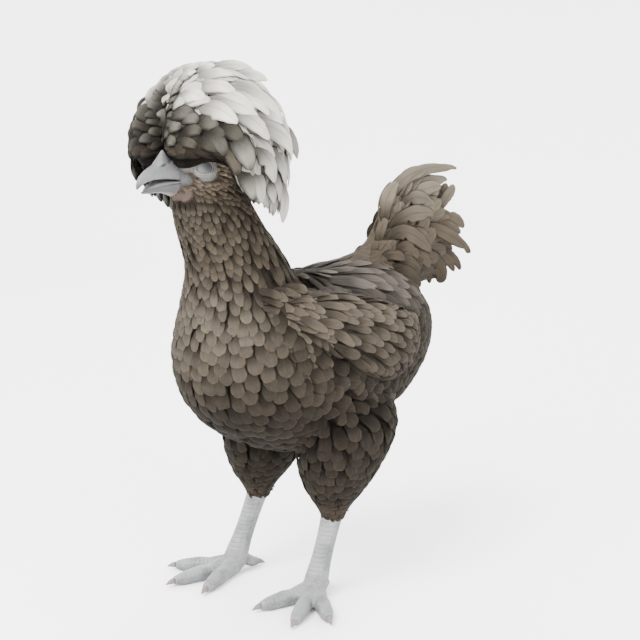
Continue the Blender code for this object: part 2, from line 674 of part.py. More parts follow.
def build_body(feather, flesh, pale):
    """Torso, neck and head, lofted whole and parted with flat cuts."""
    whole = body_loft("whole", TRUNK, BODY_RINGS, BODY_SIDES, 2.1)
    head = body_loft("head_form", HEAD, HEAD_RINGS, HEAD_SIDES, 2.1)
    combine(whole, [head], "UNION")
    torso = part_of(whole, "torso", [(NECK_ROOT, 0)])
    finish_node(torso, "torso", feather)
    neck = part_of(whole, "neck", [(turned(NECK_ROOT), -GAP), (THROAT, 0), (CROWN, 0)])
    finish_node(neck, "neck", feather)
    face = part_of(whole, "head", [(turned(THROAT), -GAP), (CROWN, 0), (BILL_ROOT, 0)])
    extras = []
    for side in (1, -1):
        turn = math.radians(LID_TURN)
        look = np.array((side * math.cos(turn), -math.sin(turn), 0))
        lid = np.array(EYE) * (side, 1, 1) + look * LID_OFFSET
        extras.append(rim("lid", lid, look, LID_RADIUS, LID_THICKNESS))
        extras.append(ellipsoid("ear", np.array(EAR) * (side, 1, 1), EAR_RADII, 10, 6))
        extras.append(ellipsoid("wattle", np.array(WATTLE) * (side, 1, 1), WATTLE_RADII, 10, 6))
    combine(face, extras, "UNION")
    cutters = []
    for side in (1, -1):
        eye = np.array(EYE) * (side, 1, 1)
        cutters.append(ellipsoid("socket", eye, (EYE_RADIUS + GAP,) * 3, 12, 8))
        pit = np.array(EAR) * (side, 1, 1) + (side * EAR_RADII[0], 0, 0)
        cutters.append(ellipsoid("ear_pit", pit, (0.0012, 0.0020, 0.0017), 8, 6))
    cutters.append(beyond((CROWN[0], CROWN[1]), 0))
    combine(face, cutters, "DIFFERENCE")
    finish_node(face, "head", flesh)
    bpy.data.objects.remove(whole, do_unlink=True)


def build_bill(horn, flesh):
    """Both halves of the bill with the knob, the nostrils and the tongue."""
    upper = body_loft("bill_upper", BILL_UPPER, 13, BILL_SIDES)
    knob_path = [np.array(KNOB_FOOT) + (np.array(KNOB_PEAK) - KNOB_FOOT) * t for t in (0, 0.35, 0.7, 1)]
    sides = 12
    angle = 2 * math.pi * np.arange(sides) / sides
    rings = [
        p + np.outer(np.cos(angle) * KNOB_HALF_WIDTH * f, (1, 0, 0))
        + np.outer(np.sin(angle) * KNOB_HALF_LENGTH * f, (0, 1, 0))
        for p, f in zip(knob_path, (1.0, 0.72, 0.38, 0.08))
    ]
    knob = solid("knob", np.concatenate(rings), tube_faces(len(rings), sides))
    combine(upper, [knob], "UNION")
    pits = [ellipsoid("nostril", np.array(NOSTRIL) * (s, 1, 1), NOSTRIL_RADII, 10, 8) for s in (1, -1)]
    combine(upper, pits + [beyond(turned(BILL_ROOT), -GAP)], "DIFFERENCE")
    finish_node(upper, "bill_upper", horn)
    lower = body_loft("bill_lower", BILL_LOWER, 10, BILL_SIDES)
    combine(lower, [beyond(turned(BILL_ROOT), -GAP)], "DIFFERENCE")
    finish_node(lower, "bill_lower", horn)
    tongue = body_loft("tongue", TONGUE, 6, 10)
    combine(tongue, [beyond(turned(BILL_ROOT), -GAP)], "DIFFERENCE")
    finish_node(tongue, "tongue", flesh)


def build_eyes(glass):
    """Both eyes, each a ball in its socket."""
    for word, side in (("left", 1), ("right", -1)):
        eye = ellipsoid("eye_" + word, np.array(EYE) * (side, 1, 1), (EYE_RADIUS,) * 3, 12, 8)
        finish_node(eye, "eye_" + word, glass)


def toe_direction(turn, side):
    """The way a toe points, with its turn outward in degrees."""
    a = math.radians(turn)
    return np.array((side * math.sin(a), -math.cos(a), 0))


def build_legs(feather, scale, horn):
    """Thighs, shanks, toes and claws of both legs."""
    for word, side, hock, sole in (
        ("left", 1, HOCK_LEFT, SOLE_LEFT),
        ("right", -1, HOCK_RIGHT, SOLE_RIGHT),
    ):
        build_thigh(word, side, hock, feather)
        build_foot(word, side, hock, sole, scale, horn)


def build_thigh(word, side, hock, feather):
    """The feathered thigh, cut to lie against the torso."""
    rows = smooth_rows(THIGH, THIGH_RINGS)
    angle = 2 * math.pi * np.arange(THIGH_SIDES) / THIGH_SIDES
    rings = [
        np.array((hock[0] + side * x, hock[1] + y, z))
        + np.outer(np.cos(angle) * a, (1, 0, 0)) + np.outer(np.sin(angle) * b, (0, 1, 0))
        for x, y, z, a, b in rows
    ]
    thigh = solid("thigh_" + word, np.concatenate(rings), tube_faces(len(rings), THIGH_SIDES))
    combine(thigh, [copy_of(bpy.data.objects["torso"], "against", GAP)], "DIFFERENCE")
    finish_node(thigh, "thigh_" + word, feather)


def build_foot(word, side, hock, sole, scale, horn):
    """Shank and toes, joined whole, flattened under the soles and parted at the toes' roots."""
    top = np.array((*hock, HOCK_HEIGHT + 0.002))
    ankle = np.array((*sole, ANKLE_HEIGHT))
    share = np.linspace(0, 1, len(SHANK_RADII))[:, None]
    shank = swept("shank_" + word, top + (ankle - top) * share, SHANK_RADII, LIMB_SIDES)
    middle = np.array((*sole, 0.0))
    toes = []
    turns = TOE_TURNS[word]
    for toe, reach in TOE_REACHES.items():
        way = toe_direction(turns[toe], side)
        steps = np.linspace(0, 1, len(TOE_RADII))[:, None]
        path = middle + way * reach * steps
        path[:, 2] = np.array(TOE_RADII) * TOE_SINK
        path[-1, 2] = TOE_RADII[-2] * TOE_SINK
        toes.append(swept("toe", path, TOE_RADII, LIMB_SIDES))
        build_claw(f"claw_{word}_{toe}", path[-1], way, horn)
    back = -toe_direction(turns["hind"], side)
    root = middle + back * HIND_TOE_ROOT[0] + (0, 0, HIND_TOE_ROOT[1])
    tip = middle + back * HIND_TOE_TIP[0] + (0, 0, HIND_TOE_TIP[1])
    steps = np.linspace(0, 1, len(HIND_TOE_RADII))[:, None]
    path = root + (tip - root) * steps
    path[:, 2] = tip[2] + (root[2] - tip[2]) * (1 - steps[:, 0]) ** 2
    toes.append(swept("toe", path, HIND_TOE_RADII, LIMB_SIDES))
    end = path[-1] - path[-2]
    build_claw(f"claw_{word}_hind", tip, end / np.linalg.norm(end), horn)
    combine(shank, toes, "UNION")
    floor, hock_cut = ((0, 0, 0), (0, 0, -1)), ((0, 0, HOCK_HEIGHT - GAP), (0, 0, 1))
    combine(shank, [beyond(floor), beyond(hock_cut)], "DIFFERENCE")
    finish_node(shank, "shank_" + word, scale)


def build_claw(name, root, way, horn):
    """A pointed claw that lies just clear of its toe's end."""
    share = np.linspace(0, 1, len(CLAW_RADII))[:, None]
    start = root + way * GAP
    path = start + way * CLAW_LENGTH * share - np.array((0, 0, CLAW_DROOP)) * share**2
    claw = swept(name, path, CLAW_RADII, CLAW_SIDES)
    finish_node(claw, name, horn)


main()
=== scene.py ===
"""Looks of the crested hen: skin, coat of feathers, crest, wings, tail, bill, eyes and feet.

Sizes are in metres. They are written from the hip line, as in the model's own source, and moved by
PLACE into the frame. The bird faces -Y, its left is +X, and the floor is at Z = 0.
"""

from __future__ import annotations

import json
import logging
import math
from dataclasses import dataclass, field
from enum import Enum
from typing import Sequence

import bmesh
import bpy
import numpy as np
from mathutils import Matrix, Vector
from mathutils.bvhtree import BVHTree
from mathutils.kdtree import KDTree

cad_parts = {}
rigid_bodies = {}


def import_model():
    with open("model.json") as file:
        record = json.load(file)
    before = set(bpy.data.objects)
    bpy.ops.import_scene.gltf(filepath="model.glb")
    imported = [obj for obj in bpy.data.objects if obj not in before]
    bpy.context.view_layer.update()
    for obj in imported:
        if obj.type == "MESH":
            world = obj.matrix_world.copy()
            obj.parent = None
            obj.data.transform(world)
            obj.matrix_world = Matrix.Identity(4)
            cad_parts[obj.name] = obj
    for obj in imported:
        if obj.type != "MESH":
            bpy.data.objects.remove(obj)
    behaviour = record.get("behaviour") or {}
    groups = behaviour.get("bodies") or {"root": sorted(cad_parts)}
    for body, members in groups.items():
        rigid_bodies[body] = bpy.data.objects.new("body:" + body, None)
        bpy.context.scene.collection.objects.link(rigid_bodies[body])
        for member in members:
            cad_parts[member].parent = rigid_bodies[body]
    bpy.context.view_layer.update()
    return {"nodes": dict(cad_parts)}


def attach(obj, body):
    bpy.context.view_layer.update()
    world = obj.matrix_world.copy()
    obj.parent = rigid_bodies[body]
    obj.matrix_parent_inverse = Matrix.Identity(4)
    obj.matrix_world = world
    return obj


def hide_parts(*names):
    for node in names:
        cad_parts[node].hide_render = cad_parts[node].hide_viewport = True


Array = np.ndarray
log = logging.getLogger("crested_hen")

# From the hip line to the frame
PLACE = np.array((-0.0036, 0.0400, 0.0))

# Maps: a feather's own across and along, and its patch for baking
VANE_MAP = "Vane"
BAKE_MAP = "OFBake"
BAKE_CELLS = 300
BAKE_PATCH = 0.003

# Names of the frame's own objects, which stay
CAD_NODES: set[str] = set()

# Feet: the length of one wide scale
SCUTE_PITCH = 0.0036

# The crest's palest colour
CREAM = np.array((0.415, 0.395, 0.350))

# Face, from the hip line: an eye's middle and size, the way it looks, the start at the bill of the
# band to the eye in Y and Z, and the edge of the crest's shadow in Y and Z
EYE = np.array((0.0128, -0.0938, 0.3476))
EYE_RADIUS = 0.0080
GAZE = (0.94, -0.34, 0.02)
FOREHEAD = np.array((-0.1160, 0.3515))
BROW = np.array((
    (-0.1192, 0.3592), (-0.1153, 0.3550), (-0.1103, 0.3514), (-0.1034, 0.3496), (-0.0993, 0.3519),
    (-0.0919, 0.3531), (-0.0850, 0.3527), (-0.0780, 0.3508), (-0.0708, 0.3471), (-0.0600, 0.3400),
))


class Side(Enum):
    """A side of the bird, with its sign along X."""

    LEFT = 1
    RIGHT = -1

    @property
    def word(self) -> str:
        """The side as a lower-case word."""
        return self.name.lower()


class Region(Enum):
    """A tract of body feathers that becomes one coat piece."""

    FACE = "coat_face"
    NECK = "coat_neck"
    BREAST = "coat_breast"
    BACK = "coat_back"
    THIGHS = "coat_thighs"
    WINGS = "coat_wings"


def eye_frame(side: Side) -> tuple[Array, Array, Array, Array]:
    """An eye's middle, the way it looks, the way back along the head, and up."""
    sign = side.value
    out = unit(np.array((sign * GAZE[0], GAZE[1], GAZE[2])))
    back = unit(np.cross((0, 0, 1.0), out) * sign)
    return EYE * (sign, 1, 1) - PLACE, out, back, np.cross(out, back) * sign


# Small tools for numbers


def linear(red: float, green: float, blue: float) -> Array:
    """A colour in linear light from its 0 to 255 display values.

    Args:
        red, green, blue: display values.

    Returns:
        Three linear values.
    """
    value = np.array((red, green, blue), float) / 255
    return np.where(value <= 0.04045, value / 12.92, ((value + 0.055) / 1.055) ** 2.4)


def paint(red: float, green: float, blue: float) -> Array:
    """The finish that shows these display values in the studio's light, a scaled power of them."""
    return 0.36 * linear(red, green, blue) ** 1.33


def smooth(value: Array, low: float, high: float) -> Array:
    """A smooth step: 0 below low, 1 above high, 3t^2 - 2t^3 between."""
    t = np.clip((np.asarray(value, float) - low) / (high - low), 0, 1)
    return t * t * (3 - 2 * t)


def unit(vectors: Array) -> Array:
    """Vectors scaled to length 1 along the last axis."""
    return vectors / np.maximum(np.linalg.norm(vectors, axis=-1, keepdims=True), 1e-12)


def hip_y(points: Array) -> Array:
    """The Y of places in the frame, from the hip line."""
    return points[:, 1] + PLACE[1]


def spline_at(rows: Array, at: Array) -> Array:
    """Catmull-Rom through rows of values, read at places from 0 to 1.

    Args:
        rows: the values to pass through, one row each.
        at: the places.

    Returns:
        One row for each place.
    """
    rows = np.asarray(rows, float)
    last = len(rows) - 1
    x = np.clip(np.asarray(at, float), 0, 1) * last
    base = np.minimum(x.astype(int), last - 1)
    t = (x - base)[:, None]
    p0, p1 = rows[np.maximum(base - 1, 0)], rows[base]
    p2, p3 = rows[base + 1], rows[np.minimum(base + 2, last)]
    return 0.5 * (
        2 * p1 + (p2 - p0) * t + (2 * p0 - 5 * p1 + 4 * p2 - p3) * t**2
        + (3 * p1 - p0 - 3 * p2 + p3) * t**3
    )


def spread(points: Array, gap: Array, lie: Array, reach: Array) -> Array:
    """Numbers of the places that are kept, so that none is nearer another than its gap.

    Places are taken in turn. Each one taken drops those within an ellipse round it, which is
    longer along the lie than across it by reach.

    Args:
        points: the places.
        gap: the gap across the lie at each.
        lie: the unit direction of the lie at each.
        reach: the ellipse's length over its width.

    Returns:
        The numbers.
    """
    tree = KDTree(len(points))
    for k, p in enumerate(points.tolist()):
        tree.insert(p, k)
    tree.balance()
    alive = np.ones(len(points), bool)
    taken = []
    for k in range(len(points)):
        if alive[k]:
            taken.append(k)
            near = np.array([n[1] for n in tree.find_range(points[k], gap[k] * reach[k])])
            away = points[near] - points[k]
            off = (away**2).sum(1) + (away @ lie[k]) ** 2 * (1 / reach[k] ** 2 - 1)
            alive[near[off < gap[k] ** 2]] = False
    return np.array(taken)


# Meshes


def surface(name: str, points: Array, faces: Sequence[Array]) -> bpy.types.Object:
    """A smooth-shaded mesh object from arrays.

    Args:
        name: the piece's name.
        points: corner places, one row each.
        faces: arrays of corner numbers, each with its own number of corners to a face.

    Returns:
        The new object, at the origin.
    """
    mesh = bpy.data.meshes.new(name)
    mesh.vertices.add(len(points))
    mesh.vertices.foreach_set("co", np.ascontiguousarray(points, np.float32).ravel())
    sizes = np.concatenate([np.full(len(f), f.shape[1]) for f in faces])
    corners = np.concatenate([f.ravel() for f in faces]).astype(np.int32)
    mesh.loops.add(len(corners))
    mesh.loops.foreach_set("vertex_index", corners)
    mesh.polygons.add(len(sizes))
    starts = np.concatenate(([0], np.cumsum(sizes)[:-1])).astype(np.int32)
    mesh.polygons.foreach_set("loop_start", starts)
    mesh.polygons.foreach_set("use_smooth", np.ones(len(sizes), bool))
    mesh.update(calc_edges=True)
    obj = bpy.data.objects.new(name, mesh)
    bpy.context.scene.collection.objects.link(obj)
    return obj


def grid_faces(rows: int, cols: int, around: bool) -> Array:
    """Quads of a grid of corners, closed across its columns if around is true."""
    r = np.arange(rows - 1)[:, None]
    c = np.arange(cols if around else cols - 1)[None, :]
    n = (c + 1) % cols
    return np.stack((r * cols + c, r * cols + n, (r + 1) * cols + n, (r + 1) * cols + c), -1).reshape(-1, 4)


def face_outward(obj: bpy.types.Object) -> bpy.types.Object:
    """Turns the faces of a closed mesh to point outward.

    Args:
        obj: a closed mesh object.

    Returns:
        The same object.
    """
    built = bmesh.new()
    built.from_mesh(obj.data)
    bmesh.ops.recalc_face_normals(built, faces=built.faces)
    built.to_mesh(obj.data)
    built.free()
    return obj


def loft(name: str, rings: Array) -> bpy.types.Object:
    """A closed surface through rings of corners, with a point at the middle of each end.

    Args:
        name: the piece's name.
        rings: places, shaped rings by sides by 3.

    Returns:
        The new object, with a map of along and around named Vane.
    """
    count, sides = rings.shape[:2]
    points = np.concatenate((rings.reshape(-1, 3), rings[:1].mean(1), rings[-1:].mean(1)))
    s = np.arange(sides)
    n = (s + 1) % sides
    low, high = count * sides, count * sides + 1
    first = np.stack((s * 0 + low, n, s), 1)
    last = np.stack((s * 0 + high, (count - 1) * sides + s, (count - 1) * sides + n), 1)
    obj = face_outward(surface(name, points, [grid_faces(count, sides, True), first, last]))
    along = np.repeat(np.linspace(0, 1, count), sides)
    around = np.tile(np.abs(np.linspace(-1, 1, sides, endpoint=False)), count)
    values = np.stack((np.concatenate((around, [0, 0])), np.concatenate((along, [0, 1]))), 1)
    set_map(obj, VANE_MAP, values)
    return obj


def corners_of(mesh: bpy.types.Mesh) -> Array:
    """The corner numbers of a mesh's faces, in loop order."""
    found = np.empty(len(mesh.loops), np.int32)
    mesh.loops.foreach_get("vertex_index", found)
    return found


def set_map(obj: bpy.types.Object, name: str, values: Array) -> None:
    """Adds a UV map whose value at each corner is its vertex's value."""
    layer = obj.data.uv_layers.new(name=name)
    layer.uv.foreach_set("vector", np.ascontiguousarray(values[corners_of(obj.data)], np.float32).ravel())


def set_colour(obj: bpy.types.Object, name: str, values: Array) -> None:
    """Adds a colour attribute with four values at each vertex."""
    layer = obj.data.attributes.new(name, "FLOAT_COLOR", "POINT")
    layer.data.foreach_set("color", np.ascontiguousarray(values, np.float32).ravel())


def set_tint(obj: bpy.types.Object, tint: Array) -> None:
    """Paints a piece with one colour for each vertex."""
    set_colour(obj, "tint", np.concatenate((tint, np.ones((len(tint), 1))), 1))


def hand_over(obj: bpy.types.Object, finish: bpy.types.Material, slot: str, *nodes: str) -> bpy.types.Object:
    """Gives a piece its material and body, and hides the nodes that it stands for.

    Args:
        obj: the piece.
        finish: its material.
        slot: not used.
        nodes: the nodes that it replaces, if any.

    Returns:
        The same piece.
    """
    obj.data.materials.append(finish)
    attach(obj, "root")
    if nodes:
        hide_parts(*nodes)
    return obj


def points_of(mesh: bpy.types.Mesh) -> Array:
    """The vertex places of a mesh."""
    found = np.empty(len(mesh.vertices) * 3, np.float32)
    mesh.vertices.foreach_get("co", found)
    return found.reshape(-1, 3).astype(float)


def normals_of(mesh: bpy.types.Mesh) -> Array:
    """The vertex normals of a mesh."""
    found = np.empty(len(mesh.vertices) * 3, np.float32)
    mesh.vertex_normals.foreach_get("vector", found)
    return found.reshape(-1, 3).astype(float)


def move_points(mesh: bpy.types.Mesh, points: Array) -> None:
    """Puts a mesh's vertices at new places."""
    mesh.vertices.foreach_set("co", np.ascontiguousarray(points, np.float32).ravel())
    mesh.update()


def relaxed(points: Array, edges: Array, rounds: int) -> Array:
    """Points evened out over a mesh's edges, without shrinking.

    Each round moves every point half way to its neighbours' mean and then a little more than as
    far back, which takes out facets and keeps the size.

    Args:
        points: the places, one a row.
        edges: pairs of point numbers.
        rounds: how often it is done.

    Returns:
        The new places.
    """
    count = np.maximum(np.bincount(edges.ravel(), minlength=len(points)), 1)[:, None]
    for step in range(2 * rounds):
        total = np.stack([
            np.bincount(edges[:, 0], points[edges[:, 1], k], len(points))
            + np.bincount(edges[:, 1], points[edges[:, 0], k], len(points))
            for k in range(3)
        ], 1)
        points = points + (0.5 if step % 2 == 0 else -0.52) * (total / count - points)
    return points


def fused(name: str, pieces: Sequence[bpy.types.Object], voxel: float, rounds: int,
          trim: dict[str, float] | None = None) -> bpy.types.Object:
    """One closed skin over several closed pieces. Pieces that aren't nodes are removed.

    Args:
        name: the new piece's name.
        pieces: the objects to fuse.
        voxel: the size of the skin's faces.
        rounds: how often it is evened out.
        trim: for some pieces, the least Y they keep.

    Returns:
        The new object.
    """
    points, faces, start = [], [], 0
    for piece in pieces:
        mesh = piece.data
        mesh.calc_loop_triangles()
        found = np.empty(len(mesh.loop_triangles) * 3, np.int32)
        mesh.loop_triangles.foreach_get("vertices", found)
        own = points_of(mesh)
        if trim and piece.name in trim:
            own[:, 1] = np.maximum(own[:, 1], trim[piece.name])
        points.append(own)
        faces.append(found.reshape(-1, 3) + start)
        start += len(mesh.vertices)
    joined = surface("joined", np.concatenate(points), [np.concatenate(faces)])
    built = bmesh.new()
    built.from_mesh(joined.data)
    bmesh.ops.remove_doubles(built, verts=built.verts, dist=1e-6)
    built.to_mesh(joined.data)
    built.free()
    step = joined.modifiers.new("fuse", "REMESH")
    step.mode = "VOXEL"
    step.voxel_size = voxel
    graph = bpy.context.evaluated_depsgraph_get()
    graph.update()
    mesh = bpy.data.meshes.new_from_object(joined.evaluated_get(graph))
    bpy.data.objects.remove(joined, do_unlink=True)
    for piece in pieces:
        if piece.name not in CAD_NODES:
            bpy.data.objects.remove(piece, do_unlink=True)
    edges = np.empty(len(mesh.edges) * 2, np.int32)
    mesh.edges.foreach_get("vertices", edges)
    move_points(mesh, relaxed(points_of(mesh), edges.reshape(-1, 2), rounds))
    mesh.polygons.foreach_set("use_smooth", np.ones(len(mesh.polygons), bool))
    mesh.name = name
    obj = bpy.data.objects.new(name, mesh)
    bpy.context.scene.collection.objects.link(obj)
    return obj


# Finishes


class NodeBook:
    """Adds nodes to a tree and links them by name."""

    def __init__(self, tree: bpy.types.NodeTree) -> None:
        """Starts on a tree."""
        self.tree = tree

    def add(self, kind: str, inputs: dict | None = None, **settings: object) -> bpy.types.Node:
        """Adds one node.

        Args:
            kind: the node's type name.
            inputs: values or sockets for its inputs, by name or number.
            settings: its other properties.

        Returns:
            The node.
        """
        node = self.tree.nodes.new(kind)
        for key, value in settings.items():
            setattr(node, key, value)
        for key, value in (inputs or {}).items():
            if isinstance(value, bpy.types.NodeSocket):
                self.tree.links.new(value, node.inputs[key])
            else:
                node.inputs[key].default_value = value
        return node

    def math(self, operation: str, a: object, b: object = 0.0, c: object = 0.0) -> bpy.types.NodeSocket:
        """The result of one Math node."""
        return self.add("ShaderNodeMath", {0: a, 1: b, 2: c}, operation=operation).outputs[0]

    def step(self, value: object, low: object, high: object, start: float = 0,
             end: float = 1) -> bpy.types.NodeSocket:
        """A smooth step of a value from start to end."""
        ranges = {"Value": value, "From Min": low, "From Max": high, "To Min": start, "To Max": end}
        return self.add("ShaderNodeMapRange", ranges, interpolation_type="SMOOTHSTEP").outputs[0]

    def mix(self, share: object, a: object, b: object, blend: str = "MIX") -> bpy.types.NodeSocket:
        """A mix of two colours."""
        node = self.add("ShaderNodeMix", {0: share, 6: a, 7: b}, data_type="RGBA", blend_type=blend)
        return node.outputs[2]


def new_material(name: str) -> tuple[bpy.types.Material, NodeBook, bpy.types.Node]:
    """A new material with its book and its shader."""
    made = bpy.data.materials.new(name)
    made.use_nodes = True
    return made, NodeBook(made.node_tree), made.node_tree.nodes["Principled BSDF"]


def wire(book: NodeBook, shader: bpy.types.Node, colour: bpy.types.NodeSocket, height: bpy.types.NodeSocket,
         relief: float) -> None:
    """Feeds a shader with a colour, and with a height as a bump of this relief."""
    bump = book.add("ShaderNodeBump", {"Strength": 0.8, "Distance": relief, "Height": height})
    book.tree.links.new(colour, shader.inputs["Base Color"])
    book.tree.links.new(bump.outputs[0], shader.inputs["Normal"])


def new_group(name: str, inputs: Sequence[tuple[str, str]], outputs: Sequence[tuple[str, str]]) -> tuple:
    """An empty shader node group with named sockets.

    Args:
        name: the group's name.
        inputs: names and socket types that go in.
        outputs: names and socket types that come out.

    Returns:
        The group, its book, its input node and its output node.
    """
    group = bpy.data.node_groups.new(name, "ShaderNodeTree")
    for label, kind in inputs:
        group.interface.new_socket(name=label, in_out="INPUT", socket_type=kind)
    for label, kind in outputs:
        group.interface.new_socket(name=label, in_out="OUTPUT", socket_type=kind)
    book = NodeBook(group)
    return group, book, book.add("NodeGroupInput"), book.add("NodeGroupOutput")


def feather_group() -> bpy.types.NodeTree:
    """The pattern of one feather: dark root, shaft, slanting barbs, a paler rim and a dark outline.

    The dark root is partly the feather's own colour and partly painted shade under the feather that
    lies over it. The dark outline is a painted shadow line along the feather's edge.

    Place is across (0 to 1) and along (0 to 1). With c the distance from the shaft, barbs lie
    where along - 0.3 c is constant, and the rim is where c or along nears 1.

    Returns:
        The node group.
    """
    group, book, given, made = new_group(
        "feather_pattern",
        [("Tint", "NodeSocketColor"), ("Own", "NodeSocketFloat"), ("Place", "NodeSocketVector"),
         ("Root", "NodeSocketFloat"), ("Rim", "NodeSocketFloat"), ("Barbs", "NodeSocketFloat"),
         ("Shaft", "NodeSocketFloat"), ("Fine", "NodeSocketFloat"), ("Dark", "NodeSocketFloat"),
         ("Outline", "NodeSocketFloat")],
        [("Color", "NodeSocketColor"), ("Height", "NodeSocketFloat")],
    )
    place = book.add("ShaderNodeSeparateXYZ", {0: given.outputs["Place"]})
    across = book.math("ABSOLUTE", book.math("MULTIPLY_ADD", place.outputs[0], 2.0, -1.0))
    along = place.outputs[1]
    barb = book.math("MULTIPLY_ADD", across, -0.3, along)
    own = book.math("MULTIPLY", given.outputs["Own"], 37.0)
    where = book.add("ShaderNodeCombineXYZ", {
        0: book.math("MULTIPLY", across, 1.6),
        1: book.math("MULTIPLY", barb, given.outputs["Fine"]),
        2: own,
    })
    lines = book.add("ShaderNodeTexNoise", {"Vector": where.outputs[0], "Scale": 1.0, "Detail": 3.0,
                                            "Roughness": 0.6}).outputs[0]
    wide = book.add("ShaderNodeCombineXYZ", {0: across, 1: book.math("MULTIPLY", along, 3.0), 2: own})
    blotch = book.add("ShaderNodeTexNoise", {"Vector": wide.outputs[0], "Scale": 1.3,
                                             "Detail": 1.0}).outputs[0]
    edge = book.math("MAXIMUM", book.step(across, 0.55, 0.84), book.step(along, 0.84, 0.94))
    # The outline at the very edge is a painted shadow line, where the edge lies over the next feather.
    last = book.math("MAXIMUM", book.step(across, 0.86, 0.99), book.step(along, 0.945, 0.995))
    outline = book.math("MULTIPLY", last, given.outputs["Outline"])
    rim = book.math("MULTIPLY", book.math("MULTIPLY", edge, given.outputs["Rim"]), book.step(along, 0.3, 0.7))
    shaft = book.step(across, 0.10, 0.02)
    # Darker toward the root: partly the feather's own colour, partly painted shade under the feather over it.
    root = book.step(along, given.outputs["Dark"], book.math("ADD", given.outputs["Dark"], 0.5))
    shade = book.math("MULTIPLY_ADD", book.math("SUBTRACT", root, 1.0), given.outputs["Root"], 1.0)
    line = book.math("MULTIPLY_ADD", book.math("SUBTRACT", lines, 0.5), given.outputs["Barbs"], 1.0)
    tone = book.math("MULTIPLY_ADD", book.math("SUBTRACT", blotch, 0.5), 0.35, 1.0)
    lit = book.math("MULTIPLY_ADD", shaft, given.outputs["Shaft"], 1.0)
    total = book.math("MULTIPLY", book.math("MULTIPLY", shade, line), book.math("MULTIPLY", tone, lit))
    total = book.math("MULTIPLY", total, book.math("ADD", rim, 1.0))
    total = book.math("MULTIPLY", total, book.math("SUBTRACT", 1.0, outline))
    grey = book.add("ShaderNodeCombineColor", {0: total, 1: total, 2: total})
    colour = book.mix(1.0, given.outputs["Tint"], grey.outputs[0], "MULTIPLY")
    height = book.math("MULTIPLY_ADD", lines, 0.7, book.math("MULTIPLY", shaft, 0.8))
    book.tree.links.new(colour, made.inputs["Color"])
    book.tree.links.new(height, made.inputs["Height"])
    return group


@dataclass(frozen=True)
class FeatherFinish:
    """A feather's finish. Its colour comes from the vanes' own tint."""

    name: str
    # root and dark: a darker root, partly own colour and partly painted shade; outline: a painted shadow line
    # at the edge
    root: float = 0.62
    rim: float = 0.30
    barbs: float = 0.45
    shaft: float = 0.16
    fine: float = 50.0
    dark: float = 0.36
    outline: float = 0.50
    roughness: float = 0.85
    relief: float = 0.0005

    def build(self, group: bpy.types.NodeTree) -> bpy.types.Material:
        """Makes the material.

        Args:
            group: the feather pattern.

        Returns:
            The material.
        """
        made, book, shader = new_material(self.name)
        tint = book.add("ShaderNodeAttribute", attribute_name="tint")
        place = book.add("ShaderNodeUVMap", uv_map=VANE_MAP)
        pattern = book.add("ShaderNodeGroup", node_tree=group)
        book.tree.links.new(tint.outputs["Color"], pattern.inputs["Tint"])
        book.tree.links.new(tint.outputs["Alpha"], pattern.inputs["Own"])
        book.tree.links.new(place.outputs[0], pattern.inputs["Place"])
        for label, value in (("Root", self.root), ("Rim", self.rim), ("Barbs", self.barbs),
                             ("Shaft", self.shaft), ("Fine", self.fine), ("Dark", self.dark),
                             ("Outline", self.outline)):
            pattern.inputs[label].default_value = value
        wire(book, shader, pattern.outputs["Color"], pattern.outputs["Height"], self.relief)
        shader.inputs["Roughness"].default_value = self.roughness
        shader.inputs["Specular IOR Level"].default_value = 0.05
        return made


def mottle_group() -> bpy.types.NodeTree:
    """Fine pores and broad mottling for skin, horn and scale, from object coordinates.

    Returns:
        The node group.
    """
    group, book, given, made = new_group(
        "mottle",
        [("Light", "NodeSocketColor"), ("Dark", "NodeSocketColor"), ("Place", "NodeSocketVector"),
         ("Size", "NodeSocketFloat"), ("Pores", "NodeSocketFloat")],
        [("Color", "NodeSocketColor"), ("Height", "NodeSocketFloat")],
    )
    broad = book.add("ShaderNodeTexNoise", {"Vector": given.outputs["Place"], "Scale": given.outputs["Size"],
                                            "Detail": 4.0, "Roughness": 0.6}).outputs[0]
    fine = book.add("ShaderNodeTexVoronoi", {"Vector": given.outputs["Place"],
                                             "Scale": given.outputs["Pores"]}).outputs[0]
    share = book.step(broad, 0.32, 0.68)
    book.tree.links.new(book.mix(share, given.outputs["Dark"], given.outputs["Light"]), made.inputs["Color"])
    book.tree.links.new(book.math("MULTIPLY_ADD", broad, 0.5, fine), made.inputs["Height"])
    return group


@dataclass(frozen=True)
class TintedFinish:
    """A mottled finish whose colour is painted at the corners, for skin, bill, eyes and claws."""

    name: str
    size: float = 120.0
    pores: float = 900.0
    roughness: float = 0.5
    relief: float = 0.0003
    subsurface: float = 0.0
    shine: float = 0.4
    blotch: float = 0.18

    def build(self, group: bpy.types.NodeTree) -> bpy.types.Material:
        """Makes the material.

        Args:
            group: the mottle pattern.

        Returns:
            The material.
        """
        made, book, shader = new_material(self.name)
        place = book.add("ShaderNodeTexCoord")
        tint = book.add("ShaderNodeAttribute", attribute_name="tint")
        pattern = book.add("ShaderNodeGroup", node_tree=group)
        book.tree.links.new(place.outputs["Object"], pattern.inputs["Place"])
        low = 1 - self.blotch
        dark = book.mix(1.0, tint.outputs["Color"], (low, low, low, 1), "MULTIPLY")
        book.tree.links.new(tint.outputs["Color"], pattern.inputs["Light"])
        book.tree.links.new(dark, pattern.inputs["Dark"])
        pattern.inputs["Size"].default_value = self.size
        pattern.inputs["Pores"].default_value = self.pores
        wire(book, shader, pattern.outputs["Color"], pattern.outputs["Height"], self.relief)
        shader.inputs["Roughness"].default_value = self.roughness
        shader.inputs["Subsurface Weight"].default_value = self.subsurface
        shader.inputs["Subsurface Radius"].default_value = (0.002, 0.0012, 0.0009)
        shader.inputs["Subsurface Scale"].default_value = 1.0
        shader.inputs["Specular IOR Level"].default_value = self.shine
        return made


